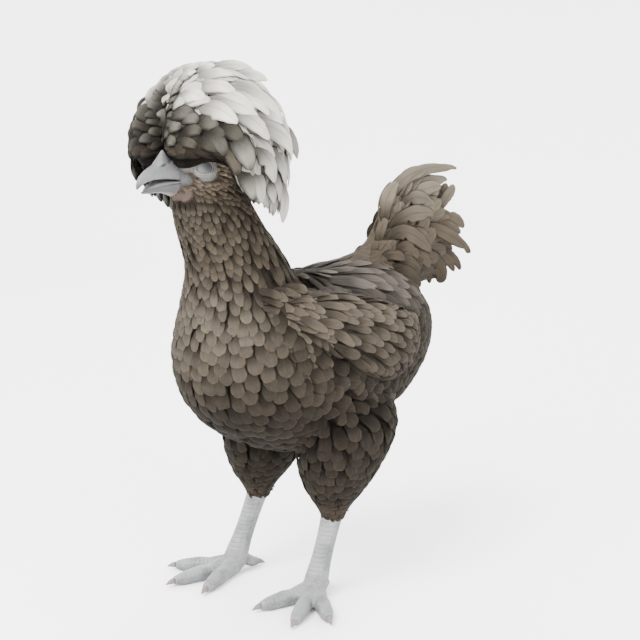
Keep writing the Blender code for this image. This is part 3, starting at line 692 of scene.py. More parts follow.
def scute_group() -> bpy.types.NodeTree:
    """Scales of a leg: wide plates in a row down the front and tops, small round ones elsewhere.

    Place is how far a spot faces forward or up (0 to 1) and the length along the limb in metres.

    Returns:
        The node group.
    """
    group, book, given, made = new_group(
        "scutes", [("Place", "NodeSocketVector"), ("Spot", "NodeSocketVector"), ("Pitch", "NodeSocketFloat")],
        [("Groove", "NodeSocketFloat"), ("Height", "NodeSocketFloat")],
    )
    place = book.add("ShaderNodeSeparateXYZ", {0: given.outputs["Place"]})
    sway = book.add("ShaderNodeTexNoise", {"Vector": given.outputs["Spot"], "Scale": 160.0}).outputs[0]
    way = book.math("MULTIPLY_ADD", sway, 0.0022, place.outputs[1])
    turn = book.math("FRACT", book.math("DIVIDE", way, given.outputs["Pitch"]))
    edge = book.math("ABSOLUTE", book.math("MULTIPLY_ADD", turn, 2.0, -1.0))
    band = book.step(edge, 0.97, 0.72)
    cell = book.add("ShaderNodeTexVoronoi", {"Vector": given.outputs["Spot"], "Scale": 430.0},
                    feature="DISTANCE_TO_EDGE").outputs["Distance"]
    small = book.step(cell, 0.02, 0.22)
    front = book.step(place.outputs[0], 0.35, 0.6)
    height = book.math("ADD", book.math("MULTIPLY", band, front),
                       book.math("MULTIPLY", small, book.math("SUBTRACT", 1.0, front)))
    book.tree.links.new(book.math("SUBTRACT", 1.0, height), made.inputs["Groove"])
    book.tree.links.new(height, made.inputs["Height"])
    return group


@dataclass(frozen=True)
class ScuteFinish:
    """The finish of bare legs: pale grey plates with darker grooves."""

    name: str
    light: tuple[float, float, float]
    dark: tuple[float, float, float]
    pitch: float = SCUTE_PITCH
    roughness: float = 0.55

    def build(self, group: bpy.types.NodeTree) -> bpy.types.Material:
        """Makes the material.

        Args:
            group: the scute pattern.

        Returns:
            The material.
        """
        made, book, shader = new_material(self.name)
        spot = book.add("ShaderNodeTexCoord").outputs["Object"]
        pattern = book.add("ShaderNodeGroup", node_tree=group)
        book.tree.links.new(book.add("ShaderNodeUVMap", uv_map=VANE_MAP).outputs[0], pattern.inputs["Place"])
        book.tree.links.new(spot, pattern.inputs["Spot"])
        pattern.inputs["Pitch"].default_value = self.pitch
        blotch = book.add("ShaderNodeTexNoise", {"Vector": spot, "Scale": 70.0, "Detail": 4.0}).outputs[0]
        share = book.math("ADD", book.math("MULTIPLY", pattern.outputs["Groove"], 0.30),
                          book.step(blotch, 0.40, 0.70, 0.0, 0.45))
        colour = book.mix(share, (*paint(*self.light), 1), (*paint(*self.dark), 1))
        wire(book, shader, colour, pattern.outputs["Height"], 0.0004)
        shader.inputs["Roughness"].default_value = self.roughness
        return made


# Feathers


@dataclass(frozen=True)
class VaneShape:
    """The outline and mesh of one kind of feather."""

    rows_low: int = 4
    rows_tip: int = 5
    cols: int = 6
    widest: float = 0.62
    root_share: float = 0.45
    power: float = 0.5
    camber: float = 0.16
    ragged: float = 0.05
    split: float = 0.0

    def rows(self) -> Array:
        """Places along the length: even to the widest place, then even round the tip."""
        low = np.linspace(0, self.widest, self.rows_low, endpoint=False)
        turn = np.linspace(0, 0.5 * math.pi, self.rows_tip)
        return np.concatenate((low, self.widest + (1 - self.widest) * np.sin(turn)))

    def outline(self) -> Array:
        """Half-width at each row: a rising sine to the widest place, then (1 - x^2)^power.

        Returns:
            One share of the half-width for each row.
        """
        t = self.rows()
        share = np.sin(0.5 * math.pi * np.clip(t / self.widest, 0, 1))
        rise = self.root_share + (1 - self.root_share) * share
        x = np.clip((t - self.widest) / (1 - self.widest), 0, 1)
        return rise * np.maximum((1 - x**2) ** self.power, 0.07)

    def faces(self) -> list[Array]:
        """Top quads, flat bottom quads and an end face at root and tip, for one feather.

        Returns:
            Arrays of point numbers, one array for each kind of face.
        """
        rows, cols = len(self.rows()), self.cols
        top = grid_faces(rows, cols, False)
        r = np.arange(rows - 1)
        low = np.stack((r * cols + cols - 1, r * cols, (r + 1) * cols, (r + 1) * cols + cols - 1), 1)
        ends = np.stack((np.arange(cols)[::-1], (rows - 1) * cols + np.arange(cols)))
        return [top, low, ends]


@dataclass
class Vanes:
    """Feathers of one coat piece: control points, normals, widths, tints and unwrap places."""

    paths: Array
    normals: Array
    widths: Array
    tints: Array
    unwrap: Array

    def join(self, other: Vanes) -> Vanes:
        """These feathers and others as one batch."""
        keys = self.__dataclass_fields__
        return Vanes(*(np.concatenate((getattr(self, key), getattr(other, key))) for key in keys))

    def only(self, kept: Array) -> Vanes:
        """The feathers for which kept is true."""
        return Vanes(*(getattr(self, key)[kept] for key in self.__dataclass_fields__))


def along_curve(first: Array, middle: Array, last: Array, steps: int) -> Array:
    """Places on the parabola through three rows of places, at even shares of its length.

    Args:
        first, middle, last: the places at shares 0, a half and 1.
        steps: how many places.

    Returns:
        Places, shaped rows by steps by 3.
    """
    t = np.linspace(0, 1, steps)[None, :, None]
    a, b, c = first[:, None], middle[:, None], last[:, None]
    return a * (1 - t) * (1 - 2 * t) + b * 4 * t * (1 - t) + c * t * (2 * t - 1)


def bake_corners(unwrap: Array) -> Array:
    """A free cell of the bake map for each feather, as near its place on the unwrap as can be.

    Args:
        unwrap: places from 0 to 1.

    Returns:
        The low corner of each feather's patch.
    """
    wanted = np.clip((unwrap * BAKE_CELLS).astype(int), 1, BAKE_CELLS - 2)
    taken: set[tuple[int, int]] = set()
    found = np.empty_like(wanted)
    near = range(-40, 41)
    ring = sorted(((i, j) for i in near for j in near), key=lambda p: p[0] ** 2 + p[1] ** 2)
    for k, (u, v) in enumerate(wanted.tolist()):
        for i, j in ring:
            cell = (u + i, v + j)
            if cell not in taken and 0 < cell[0] < BAKE_CELLS - 1 and 0 < cell[1] < BAKE_CELLS - 1:
                break
        taken.add(cell)
        found[k] = cell
    return found / BAKE_CELLS


def dress(name: str, vanes: Vanes, shape: VaneShape, finish: bpy.types.Material, slot: str,
          seed: int) -> bpy.types.Object:
    """One coat piece, all its feathers joined in one mesh.

    A corner at across c and along t lies at path(t) + side c h(t) + normal camber h(t) (1 - c^2),
    where h is the outline times half the width.

    Args:
        name: the piece's name.
        vanes: the feathers.
        shape: their outline.
        finish: their material.
        slot: the record's slot.
        seed: for each feather's own number.

    Returns:
        The piece.
    """
    rng = np.random.default_rng(seed)
    t = shape.rows()
    count, rows, cols = len(vanes.widths), len(t), shape.cols
    basis = spline_at(np.eye(vanes.paths.shape[1]), t)
    path = np.einsum("rk,nkd->nrd", basis, vanes.paths)
    normal = np.einsum("rk,nkd->nrd", basis, vanes.normals)
    along = unit(np.gradient(path, axis=1))
    normal = unit(normal - along * (normal * along).sum(-1, keepdims=True))
    side = np.cross(along, normal)
    across = np.linspace(-1, 1, cols)
    half = 0.5 * vanes.widths[:, None] * shape.outline()[None, :]
    uneven = 1 + shape.ragged * rng.standard_normal((count, rows, 2)) * (t > 0.2)[None, :, None]
    notch = (rng.random((count, rows, 2)) < shape.split) & (t > 0.35)[None, :, None]
    uneven = uneven * np.where(notch, rng.uniform(0.5, 0.8, (count, rows, 2)), 1)
    share = 0.5 + 0.5 * across
    uneven = uneven[..., :1] * (1 - share) + uneven[..., 1:] * share
    out = (half[:, :, None] * uneven)[..., None]
    flat = half[:, :, None, None]
    places = (
        path[:, :, None] + side[:, :, None] * out * across[None, None, :, None]
        + normal[:, :, None] * flat * shape.camber * (1 - across**2)[None, None, :, None]
    )
    start = (np.arange(count) * rows * cols)[:, None, None]
    faces = [(start + f[None]).reshape(-1, f.shape[1]) for f in shape.faces()]
    obj = surface(name, places.reshape(-1, 3), [f[:, ::-1] for f in faces])
    shares = np.maximum(basis, 0)
    tint = np.einsum("rk,nkd->nrd", shares / shares.sum(1, keepdims=True), vanes.tints)
    own = np.broadcast_to(rng.random(count)[:, None, None, None], (count, rows, cols, 1))
    tint = np.broadcast_to(tint[:, :, None], (count, rows, cols, 3))
    set_colour(obj, "tint", np.concatenate((tint, own), -1).reshape(-1, 4))
    u = np.broadcast_to(0.5 + 0.5 * across[None, None, :], (count, rows, cols))
    v = np.broadcast_to(t[None, :, None], (count, rows, cols))
    place = np.stack((u, v), -1).reshape(-1, 2)
    set_map(obj, VANE_MAP, place)
    low = np.repeat(bake_corners(vanes.unwrap), rows * cols, axis=0)
    set_map(obj, BAKE_MAP, low + BAKE_PATCH * place)
    log.info("%s: %d feathers, %d faces", name, count, len(obj.data.polygons))
    return hand_over(obj, finish, slot)


# Wings


@dataclass
class Wing:
    """A folded wing: a pad on the trunk's side, small feathers laid with the coat, and long ones."""

    side: Side
    outline: tuple = (
        (-0.046, 0.248), (-0.020, 0.252), (0.010, 0.250), (0.040, 0.243), (0.070, 0.233), (0.090, 0.219),
        (0.091, 0.200), (0.076, 0.186), (0.050, 0.178), (0.022, 0.187), (-0.006, 0.203), (-0.030, 0.219),
        (-0.044, 0.234),
    )
    thickness: float = 0.0105
    least: float = 0.047

    def on_side(self, tree: BVHTree, places: Array) -> tuple[Array, Array]:
        """Places on the trunk's side at these heights and lengths, with outward directions.

        Args:
            tree: the surface to meet.
            places: Y and Z from the hip line.

        Returns:
            Places and directions.
        """
        sign = self.side.value
        found, ways = [], []
        for y, z in places.tolist():
            start = Vector((sign * 0.3 - PLACE[0], y - PLACE[1], z))
            hit, normal, _, _ = tree.ray_cast(start, Vector((-sign, 0, 0)))
            if hit is None or sign * (hit[0] + PLACE[0]) < self.least:
                found.append((sign * self.least - PLACE[0], y - PLACE[1], z))
                ways.append((sign, 0, 0.15))
            else:
                found.append(hit[:])
                ways.append((normal[0], normal[1] * 0.3, normal[2] * 0.6))
        return np.array(found), unit(np.array(ways, float))

    def share(self, places: Array) -> Array:
        """How far out places in Y and Z lie: 0 in the wing's middle and 1 on its outline.

        Args:
            places: pairs of Y and Z.

        Returns:
            One share for each place.
        """
        middle = np.array(self.outline).mean(0)
        ring = spline_at(np.array(self.outline + self.outline[:1]), np.linspace(0, 1, 120))
        angle = np.arctan2(ring[:, 1] - middle[1], ring[:, 0] - middle[0])
        order = np.argsort(angle)
        off = places - middle
        own = np.arctan2(off[:, 1], off[:, 0])
        edge = np.interp(own, angle[order], np.linalg.norm(ring - middle, axis=1)[order], period=2 * math.pi)
        return np.linalg.norm(off, axis=1) / edge

    def holds(self, points: Array) -> Array:
        """How far points in the frame belong to this wing, 0 to 1."""
        here = (points[:, 0] + PLACE[0]) * self.side.value
        return smooth(self.share(points[:, 1:] + PLACE[1:]), 1.06, 0.94) * smooth(here, 0.026, 0.036)

    def pad(self, tree: BVHTree) -> bpy.types.Object:
        """The wing's own body under its feathers, a lens on the trunk's side.

        Args:
            tree: the trunk.

        Returns:
            The closed lens.
        """
        ring = spline_at(np.array(self.outline + self.outline[:1]), np.linspace(0, 1, 81)[:-1])
        middle = ring.mean(0)
        shares = np.linspace(1, 0.05, 14)
        flat = (middle + (ring - middle) * shares[:, None, None]).reshape(-1, 2)
        places, ways = self.on_side(tree, flat)
        rise = self.thickness * np.clip(1 - self.share(flat) ** 6, 0, 1) ** 0.5
        top = (places + ways * rise[:, None]).reshape(14, 80, 3)
        low = (places - ways * 0.004).reshape(14, 80, 3)
        return loft(f"wing_pad_{self.side.word}", np.concatenate((top[::-1], low)))

    def droop(self, places: Array) -> Array:
        """How far feathers point down, in radians: little at the top edge, much at the low edge."""
        top = np.interp(places[:, 0], (-0.05, 0.04, 0.09), (0.252, 0.243, 0.222))
        below = np.clip((top - places[:, 1]) / 0.060, 0, 1)
        return np.radians(-15 - 25 * below - 25 * smooth(places[:, 0], 0.05, 0.10))

    def flow(self, points: Array) -> Array:
        """The way the wing's feathers point."""
        angle = self.droop(points[:, 1:] + PLACE[1:])
        return np.stack((np.zeros(len(points)), np.cos(angle), np.sin(angle)), 1)

    def tint(self, places: Array) -> Array:
        """The wing's colour: warm taupe, darker toward its low and rear edges."""
        light, dark = paint(134, 125, 113), paint(86, 79, 70)
        share = np.clip(1.15 * (places[:, 1] - 0.165) / 0.08 - 3.0 * np.clip(places[:, 0] - 0.04, 0, 1), 0, 1)
        return dark + (light - dark) * share[:, None]

    def row(self, tree: BVHTree, roots: Array, lengths: Array, width: float, droop: Array, lifts: tuple,
            rng: np.random.Generator) -> Vanes:
        """One row of long feathers.

        Args:
            tree: the skin.
            roots: Y and Z of the roots.
            lengths: the feathers' lengths.
            width: their width.
            droop: their angles in degrees.
            lifts: height over the skin at four places along them.
            rng: the source of small differences.

        Returns:
            The feathers.
        """
        angle = np.radians(droop) + rng.normal(0, 0.03, len(roots))
        path, ups = [], []
        for step, lift in zip(np.linspace(0, 1, 4), lifts):
            turned = angle - 0.10 * step
            flat = roots + np.stack((np.cos(turned), np.sin(turned)), 1) * (lengths * step)[:, None]
            places, ways = self.on_side(tree, flat)
            path.append(places + ways * (lift + 0.0003 * rng.random(len(roots)))[:, None])
            ups.append(ways)
        tint = self.tint(roots) * np.clip(rng.normal(0.92, 0.08, len(roots)), 0.7, 1.2)[:, None]
        unwrap = np.stack((0.1 + 5.5 * (roots[:, 0] + 0.05), 0.1 + 8 * (roots[:, 1] - 0.16)), 1)
        widths = width * rng.uniform(0.9, 1.08, len(roots))
        return Vanes(np.stack(path, 1), np.stack(ups, 1), widths, np.repeat(tint[:, None], 4, 1), unwrap)

    def shoulder(self, tree: BVHTree, finish: bpy.types.Material) -> bpy.types.Object:
        """Small feathers that lie from the breast's side over the wing's front edge.

        Args:
            tree: the skin.
            finish: its material.

        Returns:
            The feathers' piece.
        """
        rng = np.random.default_rng(90 + self.side.value)
        batch = None
        for number in range(5):
            t = np.linspace(0, 1, 10) + 0.05 * (number % 2)
            roots = np.stack((-0.042 + 0.014 * t - 0.0065 * number, 0.260 - 0.056 * t), 1)
            roots = roots + rng.normal(0, 0.0007, roots.shape)
            lift = (-0.0024, 0.0004, 0.0016, 0.0020)
            row = self.row(tree, roots, 0.019 + 0 * t, 0.0078, -14 - 26 * t, lift, rng)
            row.tints = row.tints * (0.92 + 0.02 * (4 - number))
            batch = row if batch is None else batch.join(row)
        shape = VaneShape(rows_low=5, rows_tip=6, cols=7, widest=0.62, power=0.62, camber=0.20)
        return dress(f"shoulder_{self.side.word}", batch, shape, finish, "wings", 61)

    def long_feathers(self, tree: BVHTree, finish: bpy.types.Material) -> bpy.types.Object:
        """Greater coverts, secondaries and the tips of the folded primaries.

        Args:
            tree: the skin.
            finish: its material.

        Returns:
            The feathers' piece.
        """
        rng = np.random.default_rng(50 + self.side.value)
        t = np.linspace(0, 1, 10)
        turn = -12 - 26 * t
        first = np.stack((0.046 - 0.006 * t, 0.232 - 0.050 * t), 1)
        batch = self.row(tree, first, 0.058 - 0.010 * t, 0.0125, turn, (-0.003, -0.001, 0.0006, 0.0012), rng)
        t = np.linspace(0, 1, 6)
        low = np.stack((-0.006 + 0.016 * t, 0.1935 - 0.0065 * t), 1)
        tips = self.row(tree, low, 0.062 - 0.006 * t, 0.0088, -31 - 3 * t, (-0.002, 0.0, 0.0006, 0.0010), rng)
        shape = VaneShape(rows_low=7, rows_tip=6, cols=7, widest=0.70, power=0.5, camber=0.14, split=0.03)
        coat = dress(f"wing_quills_{self.side.word}", batch.join(tips), shape, finish, "wings", 60)
        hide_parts(f"wing_{self.side.word}")
        return coat


# Body


def from_band(points: Array) -> Array:
    """How far places lie from the straight line between the bill's root and the eye, in side view."""
    along = EYE[1:] - FOREHEAD
    off = np.stack((hip_y(points), points[:, 2]), 1) - FOREHEAD
    t = np.clip(off @ along / (along**2).sum(), 0, 1)
    return np.linalg.norm(off - t[:, None] * along, axis=1)


def bare_tint(points: Array) -> Array:
    """The colour of bare skin and horn at each place of the face.

    It is grey on the bill, on a round lip at the mouth's corner, on a band from the bill's ridge to
    the eye and round the eye, pinkish on the chin, tan between these, and dark under the crest: a
    painted shadow of the crest's brim.

    Args:
        points: places in the frame.

    Returns:
        One colour for each place.
    """
    y, z = hip_y(points), points[:, 2]
    pale, grey, tan = paint(164, 165, 166), paint(148, 147, 147), paint(126, 116, 108)
    rose, shade, pearl = paint(146, 131, 124), paint(50, 45, 40), paint(212, 210, 206)
    lead = grey + (pale - grey) * smooth(y, -0.108, -0.130)[:, None]
    lead = lead * (1 - 0.40 * smooth(z, 0.3385, 0.3355) * smooth(y, -0.104, -0.110))[:, None]
    behind = (z - 0.3490) + 0.94 * (y + 0.1155)
    bill = np.maximum(smooth(behind, 0.0022, -0.0012), smooth(z, 0.3478, 0.3505) * smooth(y, -0.108, -0.112))
    lip = smooth(np.hypot(y + 0.1085, z - 0.3378), 0.0062, 0.0042)
    band = smooth(from_band(points), 0.0056, 0.0034)
    eye = smooth(np.hypot(y - EYE[1], z - EYE[2]), 0.0112, 0.0088)[:, None]
    found = tan + (lead - tan) * np.maximum(np.maximum(bill, lip), band)[:, None]
    front = 0.55 * (band * smooth(y, -0.1130, -0.1080))[:, None]
    found = found + (pearl - found) * np.maximum(eye, front)
    found = found * (1 - 0.42 * eye * smooth(z, EYE[2] - 0.0035, EYE[2] - 0.0075)[:, None])
    under = smooth(0.3288 + 0.283 * (y + 0.127) - z, -0.0004, 0.0014) * smooth(y, -0.128, -0.120)
    found = found + (rose - found) * under[:, None]
    # Painted shadow of the crest's brim, on the skin above the shadow's edge BROW.
    over = z - np.interp(y, *BROW.T)
    return found + (shade - found) * (smooth(over, -0.0006, 0.0008) * smooth(y, -0.1180, -0.1150))[:, None]


@dataclass
class Body:
    """Trunk, neck, head, thighs and wings: one skin under the coat, and the lie of its feathers."""

    nodes: dict
    wings: list[Wing]
    axis_rows: tuple = (
        (0.155, 0.219), (0.124, 0.212), (0.090, 0.204), (0.048, 0.196), (0.008, 0.193), (-0.022, 0.198),
        (-0.040, 0.212), (-0.046, 0.231), (-0.050, 0.252), (-0.056, 0.277), (-0.066, 0.297),
        (-0.077, 0.320), (-0.086, 0.342),
    )
    spacings: tuple = (5.2, 6.2, 7.0, 7.8, 8.4, 8.6, 8.2, 7.4, 6.3, 5.2, 4.3, 3.4, 2.6)
    voxel: float = 0.0015
    hocks: tuple = ((0.0420, 0.0110), (-0.0410, 0.0040))
    hock_height: float = 0.070
    skin: bpy.types.Object = field(init=False)
    tree: BVHTree = field(init=False)
    axis: Array = field(init=False)
    heading: Array = field(init=False)
    pitch: Array = field(init=False)

    def __post_init__(self) -> None:
        """Works out the line through the body, its direction and the feathers' spacing on it."""
        at = np.linspace(0, 1, 90)
        rows = spline_at(np.array(self.axis_rows), at)
        self.axis = np.stack((np.full(90, -PLACE[0]), rows[:, 0] - PLACE[1], rows[:, 1]), 1)
        self.heading = unit(np.gradient(self.axis, axis=0))
        self.pitch = spline_at(np.array(self.spacings)[:, None], at)[:, 0] / 1000

    def build_skin(self, finish: bpy.types.Material) -> bpy.types.Object:
        """Fuses the flesh nodes, the wings' pads and the bill's root, and draws in the result.

        Args:
            finish: the skin's material.

        Returns:
            The skin.
        """
        names = ("torso", "neck", "head", "thigh_left", "thigh_right")
        side = BVHTree.FromObject(self.nodes["torso"], bpy.context.evaluated_depsgraph_get())
        pieces = [self.nodes[n] for n in names] + [wing.pad(side) for wing in self.wings]
        root = {self.nodes[n].name: -0.1130 - PLACE[1] for n in ("bill_upper", "bill_lower")}
        pieces += [self.nodes[n] for n in ("bill_upper", "bill_lower")]
        skin = fused("skin", pieces, self.voxel, 5, root)
        points, normals = points_of(skin.data), normals_of(skin.data)
        x, y = (points[:, :2] + PLACE[:2]).T
        keel = smooth(np.abs(x), 0.007, 0.0) * smooth(y, -0.03, -0.07)
        keel = keel * smooth(points[:, 2], 0.30, 0.25) * smooth(points[:, 2], 0.135, 0.165)
        move_points(skin.data, points - normals * (self.depth(points) + 0.0008 * keel)[:, None])
        points = points_of(skin.data)
        bare = self.bare_share(points)[:, None]
        # Under the coat the skin takes a third of the coat's colour: painted shade that shows between the
        # feathers.
        under = self.tint(points) * 0.34
        tint = under + (bare_tint(points) - under) * bare
        set_tint(skin, tint)
        self.skin = hand_over(skin, finish, "torso", *names)
        self.tree = BVHTree.FromObject(skin, bpy.context.evaluated_depsgraph_get())
        log.info("skin: %d faces", len(skin.data.polygons))
        return skin

    def nearest_axis(self, points: Array) -> Array:
        """The number of the axis point nearest each place, in the bird's side view."""
        gaps = points[:, None, 1:] - self.axis[None, :, 1:]
        return (gaps**2).sum(-1).argmin(1)

    def face_share(self, points: Array) -> Array:
        """How far a place belongs to the face, 0 to 1."""
        return smooth(points[:, 2] + 0.35 * (hip_y(points) + 0.085), 0.316, 0.330)

    def wing_share(self, points: Array) -> Array:
        """How far a place belongs to a wing, 0 to 1."""
        return np.maximum(*(wing.holds(points) for wing in self.wings))

    def thigh_share(self, points: Array) -> Array:
        """How far a place belongs to a thigh, 0 to 1.

        Args:
            points: places in the frame, one a row.

        Returns:
            One share for each place.
        """
        found = np.zeros(len(points))
        for (x, y), sign in zip(self.hocks, (1, -1)):
            hip = np.array((x - PLACE[0], y + 0.016 - PLACE[1]))
            hock = np.array((x - PLACE[0], y - PLACE[1]))
            t = smooth(points[:, 2], self.hock_height, 0.150)[:, None]
            gap = np.linalg.norm(points[:, :2] - hock - (hip - hock) * t, axis=1)
            found = np.maximum(found, smooth(gap, 0.062, 0.050) * (points[:, 0] * sign > 0.004))
        return found * smooth(points[:, 2], 0.172, 0.140)

    def muzzle(self, points: Array) -> Array:
        """How far a place lies inside the bill's root, 0 to 1."""
        return smooth(hip_y(points), -0.1110, -0.1132) * (points[:, 2] > 0.325)

    def depth(self, points: Array) -> Array:
        """How far the skin lies under the coat's outer faces, and under the bill at its root.

        Args:
            points: places in the frame, one a row.

        Returns:
            One depth for each place, in metres.
        """
        coat = np.clip(0.0004 + 0.36 * self.spacing(points), 0.0007, 0.0032)
        coat = coat * (1 - 0.5 * self.wing_share(points))
        collar = smooth(hip_y(points), -0.1000, -0.1080) * (points[:, 2] > 0.327)
        coat = coat - (coat + 0.0004) * collar
        return coat + (0.0012 - coat) * self.muzzle(points)

    def spacing(self, points: Array) -> Array:
        """The gap between neighbouring feathers' roots.

        Args:
            points: places in the frame, one a row.

        Returns:
            One gap for each place, in metres.
        """
        found = self.pitch[self.nearest_axis(points)]
        low = np.interp(points[:, 2], (0.070, 0.085, 0.105, 0.14, 0.17),
                        (0.0026, 0.0038, 0.0058, 0.0078, 0.0086))
        found = found + (low - found) * self.thigh_share(points)
        wing = np.interp(hip_y(points), (-0.05, 0.0, 0.05, 0.09), (0.0060, 0.0058, 0.0050, 0.0036))
        found = found + (wing - found) * self.wing_share(points)
        found = found * (1 - 0.25 * self.mantle(points))
        front = np.interp(hip_y(points), (-0.112, -0.085, -0.06), (0.0014, 0.0022, 0.0030))
        return found + (front - found) * self.face_share(points)

    def mantle(self, points: Array) -> Array:
        """How far a place belongs to the fold between neck and back, 0 to 1."""
        y = hip_y(points)
        return np.exp(-(((y - 0.004) / 0.036) ** 2)) * smooth(points[:, 2], 0.232, 0.246)

    def reach(self, points: Array) -> Array:
        """How much longer a feather's share of the skin is along the lie than across it.

        Args:
            points: places in the frame, one a row.

        Returns:
            One ratio for each place.
        """
        face = self.face_share(points)
        neck = smooth(points[:, 2], 0.235, 0.27) * (1 - face)
        side = smooth(hip_y(points) + 0.45 * (points[:, 2] - 0.25), -0.075, -0.035)
        back = smooth(self.backness(points), 0.2, 0.7)
        found = 0.90 + (0.15 + 0.80 * side) * neck + 0.84 * back * (1 - neck) + 0.35 * face
        wing = np.interp(hip_y(points), (-0.05, 0.02, 0.08), (2.1, 1.7, 1.25))
        return found + (wing - found) * self.wing_share(points)

    def backness(self, points: Array) -> Array:
        """How far up round the trunk a place lies, from 0 at the sides to 1 on the back."""
        up = points - self.axis[self.nearest_axis(points)]
        share = up[:, 2] / np.maximum(np.linalg.norm(up, axis=1), 1e-6)
        return np.clip(share, 0, 1) * smooth(hip_y(points), -0.05, -0.01)

    def flow(self, points: Array) -> Array:
        """The way feathers point: back along the body, down its sides and the thighs, off the bill.

        Args:
            points: places in the frame, one a row.

        Returns:
            One unit direction for each place.
        """
        x = points[:, 0] + PLACE[0]
        side = np.stack((np.sign(x) * np.exp(-((x / 0.014) ** 2)), np.zeros(len(x)), np.zeros(len(x))), 1)
        front = smooth(hip_y(points), -0.03, -0.06)[:, None]
        back = self.backness(points)[:, None]
        found = -self.heading[self.nearest_axis(points)] + np.array((0, 0, -0.35))
        found = found + 0.12 * side * front + back * np.array((0, 0, -0.35))
        found = found + back * 0.2 * np.stack((np.sign(x) * smooth(np.abs(x), 0.0, 0.03), 0 * x, 0 * x), 1)
        thigh = self.thigh_share(points)[:, None]
        found = unit(found) * (1 - thigh) + thigh * unit(np.array((0, 0.12, -1.0)))
        wing = self.wing_share(points)[:, None]
        found = unit(found) * (1 - wing) + wing * self.wings[0].flow(points)
        muzzle = np.array((-PLACE[0], -0.122 - PLACE[1], 0.342))
        away = unit(unit(points - muzzle) + np.array((0, 0.35, -0.40)))
        face = self.face_share(points)[:, None]
        return unit(found * (1 - face) + away * face)

    def settle(self, points: Array) -> tuple[Array, Array]:
        """The nearest places on the skin, and its normals there."""
        hits = [self.tree.find_nearest(p) for p in points.tolist()]
        return np.array([h[0][:] for h in hits]), np.array([h[1][:] for h in hits])

    def scatter(self, seed: int) -> Array:
        """Feather roots over the whole skin, drawn by area and spread by the spacing.

        Args:
            seed: for the draw.

        Returns:
            The places of the roots.
        """
        rng = np.random.default_rng(seed)
        mesh = self.skin.data
        mesh.calc_loop_triangles()
        found = np.empty(len(mesh.loop_triangles) * 3, np.int32)
        mesh.loop_triangles.foreach_get("vertices", found)
        corners = points_of(mesh)[found.reshape(-1, 3)]
        cross = np.cross(corners[:, 1] - corners[:, 0], corners[:, 2] - corners[:, 0])
        area = 0.5 * np.linalg.norm(cross, axis=1)
        weight = area / self.spacing(corners.mean(1)) ** 2
        pick = rng.choice(len(area), int(16 * weight.sum()), p=weight / weight.sum())
        a, b = rng.random(len(pick)), rng.random(len(pick))
        a, b = np.where(a + b > 1, 1 - a, a), np.where(a + b > 1, 1 - b, b)
        tri = corners[pick]
        points = tri[:, 0] + a[:, None] * (tri[:, 1] - tri[:, 0]) + b[:, None] * (tri[:, 2] - tri[:, 0])
        normals = unit(cross[pick])
        lie = self.flow(points)
        lie = unit(lie - normals * (lie * normals).sum(1, keepdims=True))
        return points[spread(points, self.spacing(points), lie, self.reach(points))]

    def region(self, points: Array) -> Array:
        """The region of each place, as its number in Region.

        Args:
            points: places in the frame, one a row.

        Returns:
            One number for each place.
        """
        found = np.full(len(points), 2)
        found[self.backness(points) > 0.25] = 3
        found[(points[:, 2] > 0.252) & (hip_y(points) < -0.01)] = 1
        found[self.thigh_share(points) > 0.5] = 4
        found[self.wing_share(points) > 0.5] = 5
        found[self.face_share(points) > 0.5] = 0
        return found

    def tint(self, points: Array) -> Array:
        """The coat's colour at each place: taupe, paler on the breast, darker low and behind.

        The darkening low is partly the coat's own colour and partly painted shade under the body.

        Args:
            points: places in the frame, one a row.

        Returns:
            One colour for each place.
        """
        y, z = hip_y(points), points[:, 2]
        front = smooth(-y - 0.25 * np.abs(points[:, 0]), 0.02, 0.075) * smooth(z, 0.165, 0.235)
        flank = paint(96, 89, 79)
        found = flank + (paint(128, 120, 109) - flank) * front[:, None]
        # Darker low on the body: partly the coat's own colour, partly painted shade under the body.
        found = found + (paint(81, 75, 67) - found) * smooth(z, 0.195, 0.145)[:, None]
        neck = paint(108, 100, 89)
        neck = neck + (paint(117, 109, 97) - neck) * smooth(-y, 0.06, 0.085)[:, None]
        found = found + (neck - found) * smooth(z, 0.245, 0.275)[:, None]
        found = found + (paint(142, 135, 127) - found) * smooth(self.backness(points), 0.2, 0.8)[:, None]
        wing = self.wings[0].tint(points[:, 1:] + PLACE[1:])
        found = found + (wing - found) * self.wing_share(points)[:, None]
        # Painted shade on the coat just outside the wings' outlines, along their edges.
        edge = np.minimum(*(wing.share(points[:, 1:] + PLACE[1:]) for wing in self.wings))
        edge = np.where(np.abs(points[:, 0] + PLACE[0]) > 0.022, edge, 2)
        found = found * (1 - 0.5 * smooth(edge, 1.32, 1.04) * (1 - self.wing_share(points)))[:, None]
        hock = smooth(z, 0.084, 0.074)[:, None]
        found = found + (paint(100, 91, 81) - found) * hock * self.thigh_share(points)[:, None]
        cheek = paint(176, 163, 146)
        cheek = cheek + (paint(138, 127, 114) - cheek) * smooth(z, 0.341, 0.326)[:, None]
        # A brighter spot on the cheek behind the eye: painted light where the crest's fringe shades it.
        cheek = cheek * (1 + 0.7 * np.exp(-(((y + 0.078) / 0.007) ** 2)) * smooth(z, 0.334, 0.341))[:, None]
        found = found + (cheek - found) * self.face_share(points)[:, None]
        nape = np.exp(-(((y + 0.067 + 0.30 * (z - 0.335)) / 0.004) ** 2)) * smooth(z, 0.315, 0.328)
        return found * (1 - 0.35 * nape)[:, None]

    def from_eye(self, points: Array) -> Array:
        """How far places lie from the eyes' middles, in the side view."""
        return np.hypot(hip_y(points) - EYE[1], points[:, 2] - EYE[2])

